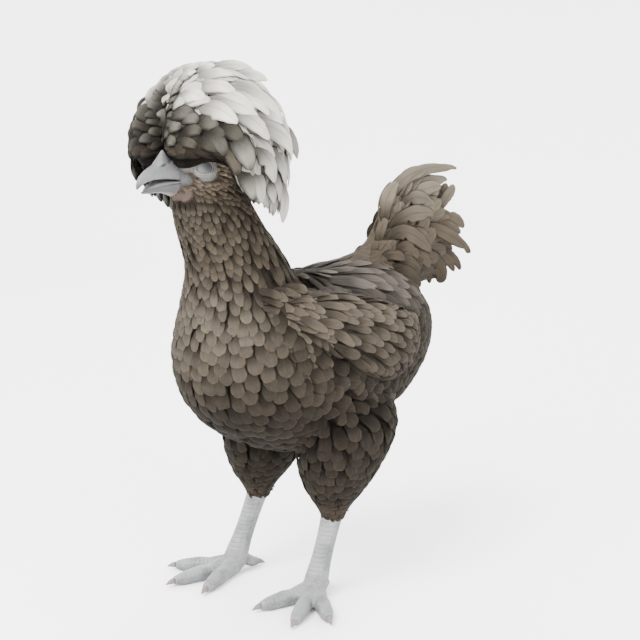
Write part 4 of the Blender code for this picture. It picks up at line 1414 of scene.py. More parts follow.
    def bare_share(self, points: Array) -> Array:
        """How bare the skin is: 1 on the face in front of the cheek, round the eye and on the chin.

        Args:
            points: places in the frame, one a row.

        Returns:
            One share for each place.
        """
        y, z = hip_y(points), points[:, 2]
        line = smooth(y + 0.55 * np.abs(z - 0.3385), -0.1025, -0.1050) * smooth(z, 0.3345, 0.3370)
        chin = smooth(np.hypot((y + 0.1085) / 1.2, z - 0.3285), 0.0068, 0.0045)
        eye = smooth(self.from_eye(points), 0.0106, 0.0090)
        band = smooth(from_band(points), 0.0060, 0.0042)
        # Bare above the edge of the crest's shadow, where the skin carries the painted shadow.
        over = smooth(z - np.interp(y, *BROW.T), -0.0010, 0.0002) * (y < -0.072) * (z > 0.34)
        return np.maximum(np.maximum(np.maximum(line, eye), np.maximum(band, over)), chin)

    def coat(self, finishes: dict) -> list[bpy.types.Object]:
        """Lays the body feathers and joins each region's feathers in one piece.

        A feather starts under the skin, follows the lie over it in three steps and keeps half of
        its own heading at each. It rises, so that its tip lies over the next feathers' roots.

        Args:
            finishes: materials by region.

        Returns:
            The coat pieces.
        """
        roots = self.scatter(5)
        bare = self.bare_share(roots) > 0.55
        under_crest = roots[:, 2] > 0.3600
        roots = roots[(roots[:, 2] > self.hock_height + 0.001) & ~bare & ~under_crest]
        rng = np.random.default_rng(9)
        gap, reach = self.spacing(roots), self.reach(roots)
        face, wing = self.face_share(roots), self.wing_share(roots)[:, None]
        length = gap * reach * (3.0 - 0.45 * smooth(reach, 1.1, 1.8)) * rng.uniform(0.90, 1.12, len(roots))
        length = length * (1 + 0.45 * self.mantle(roots))
        width = gap * (1.56 - 0.10 * smooth(reach, 1.1, 1.6)) * rng.uniform(0.90, 1.10, len(roots))
        lift = gap * (0.40 - 0.14 * face)
        start, first = self.settle(roots)
        turn = rng.normal(0, 0.11, len(roots))[:, None]
        path, ups, last = [start - first * 0.0004], [first], None
        place, normal = start, first
        for raised in (0.45, 0.92, 0.90):
            lie = self.flow(place)
            lie = unit(lie - normal * (lie * normal).sum(1, keepdims=True))
            lie = unit(lie + turn * np.cross(normal, lie))
            lie = lie if last is None else unit(lie + last)
            straight = place + lie * length[:, None] / 3
            found, ways = self.settle(straight)
            low = (straight[:, 2] < self.hock_height + 0.003)[:, None]
            place, normal = np.where(low, straight, found), np.where(low, normal, ways)
            fall = np.clip(((straight - place) * first).sum(1, keepdims=True), 0, 0.01)
            path.append(place + normal * (lift * raised)[:, None] + first * fall * 0.6 * wing)
            ups.append(normal)
            last = lie
        paths = np.stack(path, 1)
        bright = np.clip(rng.normal(1, 0.12, len(roots)), 0.68, 1.36)[:, None, None]
        tints = np.stack([self.tint(p) for p in path], 1) * bright
        regions = self.region(roots)
        shapes = {
            Region.FACE: VaneShape(rows_low=3, rows_tip=4, cols=5, widest=0.6, power=0.6, camber=0.2),
            Region.NECK: VaneShape(rows_low=4, rows_tip=5, cols=6, widest=0.62, power=0.56, camber=0.26),
            Region.BREAST: VaneShape(rows_low=4, rows_tip=6, cols=7, widest=0.70, power=0.52, camber=0.20),
            Region.BACK: VaneShape(rows_low=4, rows_tip=5, cols=6, widest=0.58, power=0.66, camber=0.2),
            Region.THIGHS: VaneShape(rows_low=4, rows_tip=6, cols=7, widest=0.70, power=0.52, camber=0.20),
            Region.WINGS: VaneShape(rows_low=4, rows_tip=5, cols=6, widest=0.60, power=0.56, camber=0.2),
        }
        slots = {Region.FACE: "head", Region.NECK: "neck", Region.THIGHS: "thighs", Region.WINGS: "wings"}
        made = []
        for number, region in enumerate(Region):
            at = regions == number
            batch = Vanes(paths[at], np.stack(ups, 1)[at], width[at], tints[at], self.unwrap(roots[at]))
            slot = slots.get(region, "torso")
            made.append(dress(region.value, batch, shapes[region], finishes[region], slot, 20 + number))
        return made

    def unwrap(self, points: Array) -> Array:
        """Places on an unwrap of the skin: round the body against length along it, thighs below.

        Args:
            points: places in the frame, one a row.

        Returns:
            One pair from 0 to 1 for each place.
        """
        near = self.nearest_axis(points)
        off = points - self.axis[near]
        up = np.cross(self.heading[near], (1.0, 0, 0))
        angle = np.arctan2(off[:, 0], -(off * up).sum(1))
        found = np.stack((0.5 + angle / (2 * math.pi), 0.25 + 0.74 * near / len(self.axis)), 1)
        thigh = self.thigh_share(points) > 0.5
        sign = np.where(points[:, 0] > 0, 1, -1)
        around = np.arctan2(points[:, 1] + 0.03, sign * points[:, 0] - 0.043) / (2 * math.pi)
        low = np.stack((0.5 + 0.25 * sign + 0.48 * around, (points[:, 2] - 0.06) * 1.8), 1)
        return np.where(thigh[:, None], low, found)


# Crest


@dataclass
class Crest:
    """The crest: feathers that spring from the bill's peak and a parting, and hang as a fringe."""

    centre: tuple = (0.0, -0.076, 0.356)
    radii: tuple = (0.0575, 0.0565, 0.0635)
    pinch: float = 0.28
    pinch_power: float = 8
    draw: float = 0.15
    spring: tuple = (0.0, -0.1200, 0.3600)
    fringe_turns: tuple = (0, 12, 24, 35, 46, 57, 65, 77, 110, 180)
    fringe_levels: tuple = (0.3625, 0.3615, 0.3600, 0.3595, 0.3585, 0.3570, 0.3530, 0.3330, 0.3130, 0.3200)
    laid: tuple = (
        (9, 59, 48, 53, 11, 0.35, 0.95), (4, 52, 33, 27, 8, 0.40, 0.95), (0, 40, 24, 13, 8, 0.50, 0.97),
        (2, 18, 42, 6, 7, 0.75, 1.0), (27, 40, 85, 32, 10, 0.60, 1.0), (27, 47, 76, 48, 11, 0.55, 1.0),
        (42, 54, 90, 68, 11, 0.55, 1.0), (38, 58, 71, 70, 11, 0.60, 1.0), (65, 41, 120, 67, 14, 0.70, 1.0),
        (76, 30, 136, 41, 10, 0.80, 1.0), (66, 20, 134, 30, 8, 0.85, 1.0), (85, 62, 119, 70, 9, 0.55, 0.97),
        (70, 71, 137, 94, 13, 0.40, 1.0), (117, 43, 137, 69, 11, 0.85, 1.0),
        (108, 68, 137, 86, 10, 0.75, 0.97),
        (44, 70, 62, 89, 10, 0.00, 0.28), (63, 73, 80, 98, 12, 0.00, 0.55), (52, 69, 74, 81, 10, 0.00, 0.15),
        (83, 82, 103, 107, 11, 0.25, 0.88), (81, 95, 93, 121, 10, 0.25, 0.90),
        (71, 96, 84, 118, 9, 0.30, 0.65),
        (96, 103, 105, 122, 8, 0.35, 0.85), (100, 95, 114, 121, 8, 0.35, 0.85),
        (106, 88, 137, 112, 9, 0.45, 0.95),
        (60, 60, 96, 80, 11, 0.30, 0.95), (96, 84, 122, 110, 10, 0.40, 0.90), (30, 30, 66, 16, 10, 0.65, 1.0),
        (1, 83, 3, 66, 5, 0.10, 0.25), (3, 80, 30, 74, 8, 0.05, 0.25), (26, 78, 46, 75, 8, 0.00, 0.18),
        (4, 75, 40, 65, 10, 0.05, 0.25), (2, 84, 25, 83, 7, 0.00, 0.20), (18, 83, 43, 84, 7, 0.00, 0.10),
        (37, 80, 57, 86, 8, 0.00, 0.05), (8, 66, 32, 57, 9, 0.25, 0.75), (34, 71, 58, 72, 9, 0.05, 0.25),
        (44, 76, 62, 78, 9, 0.00, 0.10), (20, 71, 44, 69, 8, 0.05, 0.30),
    )
    right: tuple = (
        (0, 78, -38, 63, 10, 0.10, 0.25), (-2, 66, -37, 47, 11, 0.20, 0.80),
        (-1, 55, -32, 33, 11, 0.45, 0.97),
        (-4, 80, -40, 72, 8, 0.00, 0.15), (-2, 84, -24, 82, 6, 0.00, 0.25), (-28, 72, -52, 66, 9, 0.00, 0.15),
        (-30, 79, -52, 77, 9, 0.00, 0.05), (-36, 47, -66, 52, 10, 0.60, 0.85),
        (-27, 61, -56, 58, 9, 0.15, 0.30),
        (-8, 36, -40, 20, 10, 0.75, 0.95), (-18, 85, -40, 86, 8, 0.00, 0.05),
        (-1, 72, -22, 58, 8, 0.05, 0.35),
        (-40, 84, -56, 92, 9, 0.00, 0.20), (-46, 88, -58, 108, 9, 0.05, 0.45),
        (-52, 80, -64, 104, 10, 0.10, 0.70),
    )
    brim_turns: tuple = (0, 8, 16, 24, 32, 40, 48, 57, 65, 77, 110, 180)
    brim_levels: tuple = (0.3610, 0.3565, 0.3508, 0.3482, 0.3482, 0.3505, 0.3530, 0.3525, 0.3500, 0.3450,
                          0.3330, 0.3400)

    def place(self, turn: Array, azimuth: Array, share: Array) -> Array:
        """Places on the form.

        The form is an ellipsoid above its widest level and hangs down below it, drawn in by its
        drop. It is flatter by pinch cos(azimuth)^power over the bill.

        Args:
            turn: angle off the upright.
            azimuth: angle round from the bill.
            share: scale of the form.

        Returns:
            Places in the frame.
        """
        level = np.cos(turn)
        across = np.where(level > 0, np.sin(turn), 1 + self.draw * level)
        flat = 1 - self.pinch * np.maximum(0, np.cos(azimuth)) ** self.pinch_power * across**2
        grown = across * share * flat
        high = level * np.where(level > 0, share, 1)
        out = np.stack((grown * np.sin(azimuth), -grown * np.cos(azimuth), high), -1)
        return out * self.radii + self.centre - PLACE

    def where(self, points: Array) -> tuple[Array, Array]:
        """The turn and azimuth of places near the form.

        Args:
            points: places in the frame, one a row.

        Returns:
            The turns and the azimuths, in radians.
        """
        q = (points + PLACE - self.centre) / self.radii
        azimuth = np.arctan2(q[..., 0], -q[..., 1])
        high = q[..., 2] / np.maximum(np.linalg.norm(q, axis=-1), 1e-9)
        level = np.where(q[..., 2] > 0, high, np.maximum(q[..., 2], -1))
        return np.arccos(np.clip(level, -1, 1)), azimuth

    def normal(self, points: Array) -> Array:
        """Outward directions on the form."""
        q = (points + PLACE - self.centre) / np.square(self.radii)
        q[..., 2] = np.maximum(q[..., 2], 0) + 0.10 * np.abs(q[..., 0])
        return unit(q)

    def limit(self, azimuth: Array) -> Array:
        """The turn at which the fringe ends at each azimuth in degrees."""
        level = np.interp(self.around(azimuth), self.fringe_turns, self.fringe_levels)
        return np.arccos(np.clip((level - self.centre[2]) / self.radii[2], -1, 1))

    def brim(self, azimuth: Array) -> Array:
        """The turn at which the form under the feathers ends at each azimuth in degrees."""
        level = np.interp(self.around(azimuth), self.brim_turns, self.brim_levels)
        return np.arccos(np.clip((level - self.centre[2]) / self.radii[2], -1, 1))

    def around(self, azimuth: Array) -> Array:
        """Degrees round from the bill. On the right side the fringe starts nearer the bill."""
        turn = (azimuth + 180) % 360 - 180
        return np.abs(turn) + 16 * smooth(-turn, 22, 45) * smooth(-turn, 150, 100)

    def flow(self, points: Array) -> Array:
        """The way feathers point: off the bill's peak and the parting, and down at the sides.

        Args:
            points: places in the frame, one a row.

        Returns:
            One unit direction for each place.
        """
        off = points + PLACE - self.spring
        x = points[..., :1] + PLACE[0]
        far = np.linalg.norm(off, axis=-1, keepdims=True)
        side = np.sign(x) * np.exp(-np.abs(x) / 0.016) * smooth(points[..., 1:2] + PLACE[1], -0.055, -0.085)
        drop = 0.66 * smooth(far, 0.022, 0.065) * smooth(np.abs(x), 0.006, 0.040)
        drop = drop + 3.0 * smooth(points[..., 2:], 0.357, 0.335) * smooth(far, 0.03, 0.05)
        found = off / np.maximum(far, 1e-6) + np.concatenate((0.75 * side, 0 * x, -drop), -1)
        normal = self.normal(points)
        return unit(found - normal * (found * normal).sum(-1, keepdims=True))

    def pale(self, turn: Array, azimuth: Array) -> Array:
        """How cream a place is: 1 on top and behind, 0 low in front and over the eyes.

        The dark low in front is partly the crest's own colour and partly painted shade.

        Args:
            turn: angle off the upright.
            azimuth: angle round from the bill.

        Returns:
            One share for each place.
        """
        around = np.abs((np.degrees(azimuth) + 180) % 360 - 180)
        edge = np.interp(around, (0, 22, 39, 53, 63, 72, 79, 88, 96, 180),
                         (51, 59, 67, 72, 75, 79, 88, 118, 190, 200))
        fringe = smooth(around, 60, 70) * smooth(np.degrees(turn), 92, 100)
        return np.maximum(smooth(edge - np.degrees(turn), -9, 9), fringe)

    def vanes(self, tips: Array, gap: Array, reach: Array, share: float, rng: np.random.Generator) -> Vanes:
        """Feathers that end at these places on the form, followed back to their roots.

        Args:
            tips: the places.
            gap: the spacing across at each.
            reach: the spacing along, as a multiple of gap.
            share: scale of the form.
            rng: the source of small differences.

        Returns:
            The feathers.
        """
        length = gap * reach * 2.3 * rng.uniform(0.88, 1.12, len(tips))
        length = np.minimum(length, 0.9 * np.linalg.norm(tips + PLACE - self.spring, axis=1))
        sign = np.sign(tips[:, 0] + PLACE[0])
        place, path = tips, [tips]
        for _ in range(4):
            back = place - self.flow(place) * length[:, None] / 4
            back[:, 0] = sign * np.maximum(sign * (back[:, 0] + PLACE[0]), 0.0004) - PLACE[0]
            turn, azimuth = self.where(back)
            place = self.place(turn, azimuth, np.ones_like(turn))
            path.append(place)
        path = np.stack(path[::-1], 1)
        turn, azimuth = self.where(path)
        ups = self.normal(path)
        raised = np.array((-0.40, -0.10, 0.16, 0.32, 0.34)) * rng.uniform(0.75, 1.3, (len(tips), 1))
        inward = (1 - share) * 0.05
        paths = path + ups * (gap[:, None] * raised - inward)[..., None]
        # The dark colour in front is partly the crest's own colour and partly painted shade.
        cream, dark = CREAM, paint(97, 93, 85)
        pale = self.pale(turn[:, -2:-1], azimuth[:, -2:-1])[..., None]
        steps = np.linspace(0, 1, 5)[None, :, None]
        # Painted shade: darker toward the roots on the hanging fringe, and darker behind, on the side away from
        # the light.
        low = smooth(np.degrees(turn[..., None]), 85, 115) * (1 - steps) * 0.75
        rear = smooth(np.abs(np.degrees(azimuth[:, -1:, None])), 110, 175) * 0.35
        tints = dark + (cream - dark) * pale * (1 - low) * (1 - rear)
        warm = smooth(np.degrees(turn[:, -1:, None]), 70, 88) * (1 - pale)
        tints = tints * (1 + warm * np.array((-0.10, -0.18, -0.28)))
        x = np.abs(path[..., :1] + PLACE[0])
        # Painted shade in the parting between the crest's halves, at the feathers' roots.
        parting_shade = smooth(x, 0.008, 0.0) * smooth(path[..., 1:2] + PLACE[1], -0.055, -0.085) * (1 - steps)
        tints = tints * (1 - 0.45 * parting_shade)
        tints = tints * rng.normal(1, 0.05 + 0.10 * (1 - pale[:, 0, 0]), len(tips))[:, None, None]
        # Painted shade on the hanging fringe.
        tints = tints * (1 - 0.35 * smooth(np.degrees(turn), 84, 106))[..., None]
        unwrap = np.stack(((0.5 + azimuth[:, -1] / (2 * math.pi)) * 0.96 + 0.02, turn[:, -1] / math.pi), 1)
        widths = np.minimum(gap * 1.42, 0.75 * length) * rng.uniform(0.9, 1.12, len(tips))
        return Vanes(paths, ups, widths, np.broadcast_to(tints, paths.shape), unwrap)

    def by_hand(self, rows: Array, rng: np.random.Generator) -> Vanes:
        """Feathers laid one by one, each from its root to its tip over the form.

        The middle of each is bowed up by a tenth of its length, and then set on the form.

        Args:
            rows: root azimuth and turn, tip azimuth and turn in degrees, width in millimetres, and
                how cream its root and its tip are.
            rng: the source of small differences.

        Returns:
            The feathers.
        """
        angles = np.radians(rows[:, :4])
        one = np.ones(len(rows))
        root, tip = self.place(angles[:, 1], angles[:, 0], one), self.place(angles[:, 3], angles[:, 2], one)
        length = np.linalg.norm(tip - root, axis=1)[:, None]
        middle = 0.5 * (root + tip) + np.array((0, 0, 0.10)) * length
        steps = np.linspace(0, 1, 5)
        path = along_curve(root, middle, tip, 5)
        turn, azimuth = self.where(path)
        path = self.place(turn, azimuth, np.ones_like(turn))
        ups = self.normal(path)
        raised = np.array((-0.0020, 0.0004, 0.0020, 0.0030, 0.0030)) * rng.uniform(0.85, 1.25, (len(rows), 1))
        paths = path + ups * raised[..., None]
        # The dark in front, and the low cream shares of the table there, are partly own colour and partly
        # painted shade.
        cream, dark = CREAM, paint(99, 95, 86)
        pale = (rows[:, 5:6] + (rows[:, 6:7] - rows[:, 5:6]) * smooth(steps, 0.0, 0.75)) ** 2
        # Painted shade on the hanging fringe.
        shade = 1 - 0.35 * smooth(np.degrees(turn), 84, 106)
        every = (len(rows), 1, 1)
        uneven = rng.normal(1, 0.04, every) * (1 + 0.14 * rng.normal(0, 1, every) * (1 - pale[:, -1:, None]))
        tints = (dark + (cream - dark) * pale[..., None]) * shade[..., None] * uneven
        unwrap = np.stack(((0.5 + azimuth[:, -1] / (2 * math.pi)) * 0.96 + 0.02, turn[:, -1] / math.pi), 1)
        return Vanes(paths, ups, rows[:, 4] * 0.00145, tints, unwrap)

    def raised(self) -> Vanes:
        """The few feathers whose tips stand off the crest behind, and the long thin one below.

        Returns:
            The feathers.
        """
        rows = np.array(((40, 19, 130, 31, 7.5, 0.8, 0.97), (80, 32, 138, 41, 7, 0.8, 0.97),
                         (126, 66, 140, 93, 6, 0.5, 0.55), (122, 104, 129, 141, 6, 0.8, 1.0)))
        other = rows[2:] * np.array((-1, 1, -1, 1, 1, 1, 1)) + np.array((9, 6, 12, -2, 0, 0, 0))
        both = np.concatenate((rows, other))
        found = self.by_hand(both, np.random.default_rng(8))
        off = np.array((0.0045, 0.0045, 0.0050, 0.0, 0.0050, 0.0))[:, None] * np.linspace(0, 1, 5) ** 2
        found.paths = found.paths + found.normals * off[..., None]
        level = np.stack((np.sign(found.paths[..., 0]) * 0.70, 0 * off - 0.69, 0 * off + 0.18), -1)
        found.normals = unit(found.normals + 2.5 * level * np.linspace(0, 1, 5)[None, :, None])
        return found

    def parting(self, rng: np.random.Generator) -> Array:
        """Rows for small feathers that spring from the line between the crest's halves.

        Args:
            rng: the source of small differences.

        Returns:
            Rows as by_hand takes them.
        """
        turn = np.tile(np.arange(22, 85, 4.5), 2) + rng.uniform(-1, 1, 28)
        sign = np.repeat((1.0, -1.0), 14)
        tip = turn - np.interp(turn, (22, 60, 84), (9, 8, 0))
        cream = np.interp(turn, (30, 52, 66, 84), (0.85, 0.55, 0.20, 0.10))
        wide = np.interp(turn, (22, 50, 84), (7.5, 7.0, 5.0))
        ahead = np.interp(turn, (22, 50, 84), (36, 24, 17)) + rng.uniform(-3, 3, 28)
        return np.stack((1.0 * sign, turn, ahead * sign, tip, wide, 0.6 * cream, cream), 1)

    def sizes(self, points: Array) -> tuple[Array, Array]:
        """The gap and reach of feathers: small by the bill, large on top and behind.

        Args:
            points: places in the frame, one a row.

        Returns:
            The gap in metres and the reach, one each for each place.
        """
        far = np.linalg.norm(points + PLACE - self.spring, axis=-1)
        gap = np.interp(far, (0.0, 0.012, 0.030, 0.055, 0.09), (0.0042, 0.0055, 0.0072, 0.0096, 0.0100))
        reach = np.interp(far, (0.0, 0.020, 0.040, 0.070), (1.10, 1.30, 1.70, 2.0))
        low = smooth(points[..., 2], 0.352, 0.335)
        return gap + (0.0072 - gap) * low, reach + (2.3 - reach) * low

    def layer(self, seed: int, share: float, extra: float) -> Vanes:
        """One layer of feathers over the form, with a row along the fringe.

        Args:
            seed: for the places.
            share: scale of the form.
            extra: how far past the fringe feathers may end, in degrees.

        Returns:
            The feathers.
        """
        rng = np.random.default_rng(seed)
        count = 9000
        turn, azimuth = np.arccos(rng.uniform(-0.95, 1, count)), rng.uniform(-math.pi, math.pi, count)
        limit = self.limit(np.degrees(azimuth))
        ok = turn < limit + math.radians(extra)
        points = self.place(turn[ok], azimuth[ok], np.ones(ok.sum()))
        gap, reach = self.sizes(points)
        kept = spread(points, gap, self.flow(points), reach)
        batch = self.vanes(points[kept], gap[kept], reach[kept], share, rng)
        around = np.arange(-178, 180, 7.5) + rng.uniform(-2, 2, 48)
        around = around[np.abs(around) > 8]
        turn = self.limit(around) + np.radians(rng.uniform(-1, 2, len(around)))
        row = self.place(turn, np.radians(around), np.full(len(turn), 0.98))
        gap, reach = self.sizes(row)
        return batch.join(self.vanes(row, gap, reach, share, rng))

    def core(self, finish: bpy.types.Material) -> bpy.types.Object:
        """The closed form under the feathers, hollow below like a cap.

        Args:
            finish: its material.

        Returns:
            The piece.
        """
        a = np.linspace(0, 2 * math.pi, 72, endpoint=False)
        limit = self.brim(np.degrees(a))
        t = np.linspace(0.03, 1, 26)[:, None]
        brow = smooth(self.around(np.degrees(a)), 66, 52) * smooth(self.around(np.degrees(a)), 4, 14)
        outer = self.place(t * limit, a + 0 * t, 0.90 + 0.07 * brow * smooth(t, 0.6, 0.9))
        s = np.linspace(1, 0, 8)[:, None]
        top = math.radians(87)
        inner = self.place(top + (limit - top) * s, a + 0 * s, np.full((8, 72), 0.78))
        rings = np.concatenate((outer, inner))
        made = loft("crest_core", rings)
        points = points_of(made.data)
        turn, azimuth = self.where(points)
        pale = (self.pale(turn, azimuth) * (turn < math.radians(88)))[:, None]
        off = (points + PLACE - self.centre) / self.radii
        inside = np.linalg.norm(off[:, :2], axis=1) < 0.80
        pale = pale * ~(inside & (turn > math.radians(80)))[:, None]
        # Painted shade: 0.55 of the cream under the pale feathers, dark brown below, in front and inside, where
        # the crest's underside is in shadow, and darker still toward the brim in front.
        tint = paint(58, 52, 46) + (0.55 * CREAM - paint(58, 52, 46)) * pale
        tint = tint * (1 - 0.4 * smooth(np.degrees(turn), 74, 84) * (np.abs(azimuth) < 1.3))[:, None]
        set_tint(made, tint)
        return hand_over(made, finish, "crest")

    def build(self, cream: bpy.types.Material, brown: bpy.types.Material,
              core: bpy.types.Material) -> list[bpy.types.Object]:
        """The core and the crest's feathers: those laid one by one, and two layers that fill in.

        Args:
            cream: for the pale feathers.
            brown: for the dark feathers in front.
            core: for the form under them.

        Returns:
            The three pieces.
        """
        rng = np.random.default_rng(3)
        left, right = np.array(self.laid), np.array(self.right)
        other = left[(left[:, 2] > 44) & (left[:, 0] > 24)] * np.array((-1, 1, -1, 1, 1, 1, 1))
        other[:, :4] += rng.normal(0, 2.0, (len(other), 4))
        first = self.by_hand(np.concatenate((left, right, other, self.parting(rng))), rng)
        outer = self.layer(31, 1.0, 0.0)
        covered = KDTree(len(first.widths) * 5)
        for k, p in enumerate(first.paths.reshape(-1, 3).tolist()):
            covered.insert(p, k)
        covered.balance()
        gaps = np.array([covered.find(p)[2] for p in outer.paths[:, 3].tolist()])
        around = np.abs(np.degrees(self.where(outer.paths[:, -1])[1]))
        outer = outer.only(gaps > np.where(around > 100, 0.0055, np.where(around < 60, 0.0050, 0.0068)))
        inner = self.layer(47, 0.93, 0.0).join(self.layer(53, 0.97, 0.0))
        low = np.degrees(self.where(inner.paths[:, -1])[0]) > 60
        # Painted shade: the inner layers lie under the outer one, and are darker still low on the crest.
        inner.tints = inner.tints * np.where(low, 0.62, 0.75)[:, None, None]
        every = first.join(self.raised()).join(outer).join(inner)
        rear = np.abs(np.degrees(self.where(every.paths[:, -1])[1])) > 95
        light = every.tints[:, -1, 0] > np.where(rear, 0.09, 0.20)
        shape = VaneShape(rows_low=6, rows_tip=7, cols=7, widest=0.56, root_share=0.35, power=0.74,
                          camber=0.26, ragged=0.05, split=0.03)
        coat = dress("crest_feathers", every.only(light), shape, cream, "crest", 41)
        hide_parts("crest")
        round_tip = VaneShape(rows_low=5, rows_tip=6, cols=7, widest=0.58, root_share=0.4, power=0.66,
                              camber=0.36, ragged=0.04)
        front = dress("crest_front", every.only(~light), round_tip, brown, "crest", 42)
        return [coat, front, self.core(core)]


# Tail


@dataclass
class Tail:
    """The raised tail: long broad feathers in a fan, and coverts that lie over it like tiles.

    Along line f of the fan, from 0 for the top feather to 1 for the lowest, the slope at share s
    of the length is start + (end - start) s^bend.
    """

    base: tuple = (0.0, 0.110, 0.244)
    bend: float = 1.9
    start: tuple = (86, 6)
    end: tuple = (-30, -26)
    length: tuple = (0.148, 0.102)
    lines: int = 41
    steps: int = 61
    laid: tuple = (
        (116, 283, 131, 328, 207, 338, 12, 3, 35), (125, 302, 146, 323, 191, 329, 12, 5, 20),
        (126, 307, 147, 320, 178, 324, 13, 8, 10), (123, 305, 138, 315, 161, 312, 13, 10, 5),
        (176, 290, 191, 310, 205, 322, 13, 2, 0), (171, 290, 197, 295, 220, 284, 11, 2, 0),
        (164, 288, 190, 289, 213, 279, 10, 4, 0), (145, 282, 174, 285, 222, 261, 13, 9, 0),
        (165, 282, 193, 280, 218, 268, 9, 3, 0), (160, 272, 186, 262, 205, 245, 10, 4, 0),
        (174, 272, 200, 261, 216, 245, 9, 2, 0), (151, 270, 172, 258, 188, 236, 18, 6, -15),
        (109, 288, 129, 300, 163, 300, 15, 13, 10), (130, 294, 150, 306, 168, 307, 13, 10, 5),
        (105, 277, 122, 287, 159, 268, 15, 15, 5), (127, 282, 142, 284, 158, 274, 12, 13, 0),
        (112, 287, 110, 310, 124, 328, 12, 6, 45), (102, 270, 102, 287, 109, 298, 9, 7, 45),
        (95, 266, 94, 273, 97, 280, 6, 8, 50), (88, 262, 104, 269, 124, 261, 10, 17, 15),
        (77, 263, 99, 259, 125, 248, 11, 19, 15), (107, 267, 124, 274, 139, 264, 12, 16, 5),
        (127, 265, 143, 267, 159, 253, 13, 13, 0), (154, 283, 167, 300, 183, 311, 13, 5, 0),
        (144, 263, 155, 261, 167, 243, 13, 8, -10), (98, 258, 116, 254, 134, 240, 13, 24, 0),
        (95, 250, 112, 244, 130, 229, 13, 28, 0), (104, 262, 122, 262, 140, 252, 12, 18, 0),
        (92, 240, 108, 232, 124, 216, 13, 30, 0), (110, 256, 126, 250, 142, 236, 12, 14, 0),
    )
    rise: tuple = (
        (60, 250, 24, 14), (78, 252.5, 21, 14), (94, 258, 17, 13), (107, 268, 13, 12), (116, 282, 10, 10),
        (123, 297, 8, 9), (131, 312, 6, 8),
    )
    table: Array = field(init=False)
    slopes: Array = field(init=False)

    def __post_init__(self) -> None:
        """Works out the fan's lines as a table of places in Y and Z and of slopes."""
        f = np.linspace(0, 1, self.lines)[:, None]
        s = np.linspace(0, 1, self.steps)[None]
        start = self.start[0] + (self.start[1] - self.start[0]) * f
        end = self.end[0] + (self.end[1] - self.end[0]) * f
        self.slopes = np.radians(start + (end - start) * s**self.bend)
        run = (self.length[0] + (self.length[1] - self.length[0]) * f) / (self.steps - 1)
        middle = 0.5 * (self.slopes[:, 1:] + self.slopes[:, :-1])
        zero = np.zeros((self.lines, 1))
        y = np.concatenate((zero, np.cumsum(np.cos(middle) * run, 1)), 1) + self.base[1]
        z = np.concatenate((zero, np.cumsum(np.sin(middle) * run, 1)), 1) + self.base[2]
        self.table = np.stack((y, z, self.slopes), -1)

    def read(self, f: Array, s: Array) -> Array:
        """Y, Z and slope at line f and share s, blended from the table.

        Args:
            f: lines of the fan.
            s: shares of the length.

        Returns:
            One row of three for each.
        """
        u, v = np.clip(f, 0, 1) * (self.lines - 1), np.clip(s, 0, 1) * (self.steps - 1)
        i, j = np.minimum(u.astype(int), self.lines - 2), np.minimum(v.astype(int), self.steps - 2)
        a, b = (u - i)[..., None], (v - j)[..., None]
        low = self.table[i, j] * (1 - b) + self.table[i, j + 1] * b
        high = self.table[i + 1, j] * (1 - b) + self.table[i + 1, j + 1] * b
        return low * (1 - a) + high * a

    def vanes(self, side: Side, f: Array, s: Array, length: Array, widths: Array, out: Array,
              rng: np.random.Generator) -> Vanes:
        """Feathers that end at line f and share s.

        Args:
            side: the side they lie on.
            f: their lines.
            s: the shares where they end.
            length: their lengths.
            widths: their widths.
            out: how far from the middle plane their middles lie.
            rng: the source of small differences.

        Returns:
            The feathers.
        """
        whole = self.length[0] + (self.length[1] - self.length[0]) * f
        steps = np.linspace(0, 1, 6)[None]
        first = np.maximum(s - length / whole, 0.0)
        at = first[:, None] + (s - first)[:, None] * steps
        line = f[:, None] + rng.normal(0, 0.035, (len(f), 1)) * (steps - 0.5)
        found = self.read(line, at)
        curl = rng.uniform(-0.002, 0.002, (len(f), 1)) * steps**3
        out = out * (0.10 + 0.90 * smooth(f, -0.05, 0.34))
        raised = np.array((-0.0020, -0.0012, -0.0002, 0.0008, 0.0016, 0.0016)) + curl
        tilt = np.radians(80 * smooth(f, 0.30, 0.0) - 40 * smooth(f, 0.85, 1.0))[:, None]
        tilt = tilt * self.wrap(s)[:, None]
        x = out[:, None] + raised * np.cos(tilt)
        slope = found[..., 2]
        over_it = raised * np.sin(tilt)
        y, z = found[..., 0] - over_it * np.sin(slope), found[..., 1] + over_it * np.cos(slope)
        paths = np.stack((side.value * x, y, z), -1) - PLACE
        over = np.sin(tilt) + 0 * slope
        ups = np.stack((side.value * np.cos(tilt) + 0 * slope, -over * np.sin(slope), over * np.cos(slope)), -1)
        paler = np.interp(s, (0.1, 0.5), (0.72, 1.0))[:, None, None]
        tints = self.tint(z) * 0.92 * rng.normal(1, 0.09, (len(f), 1, 1)) * paler
        unwrap = np.stack((0.5 + side.value * (0.02 + 0.45 * s), 0.05 + 0.9 * (1 - f)), 1)
        return Vanes(paths, ups, widths, np.broadcast_to(tints, paths.shape), unwrap)

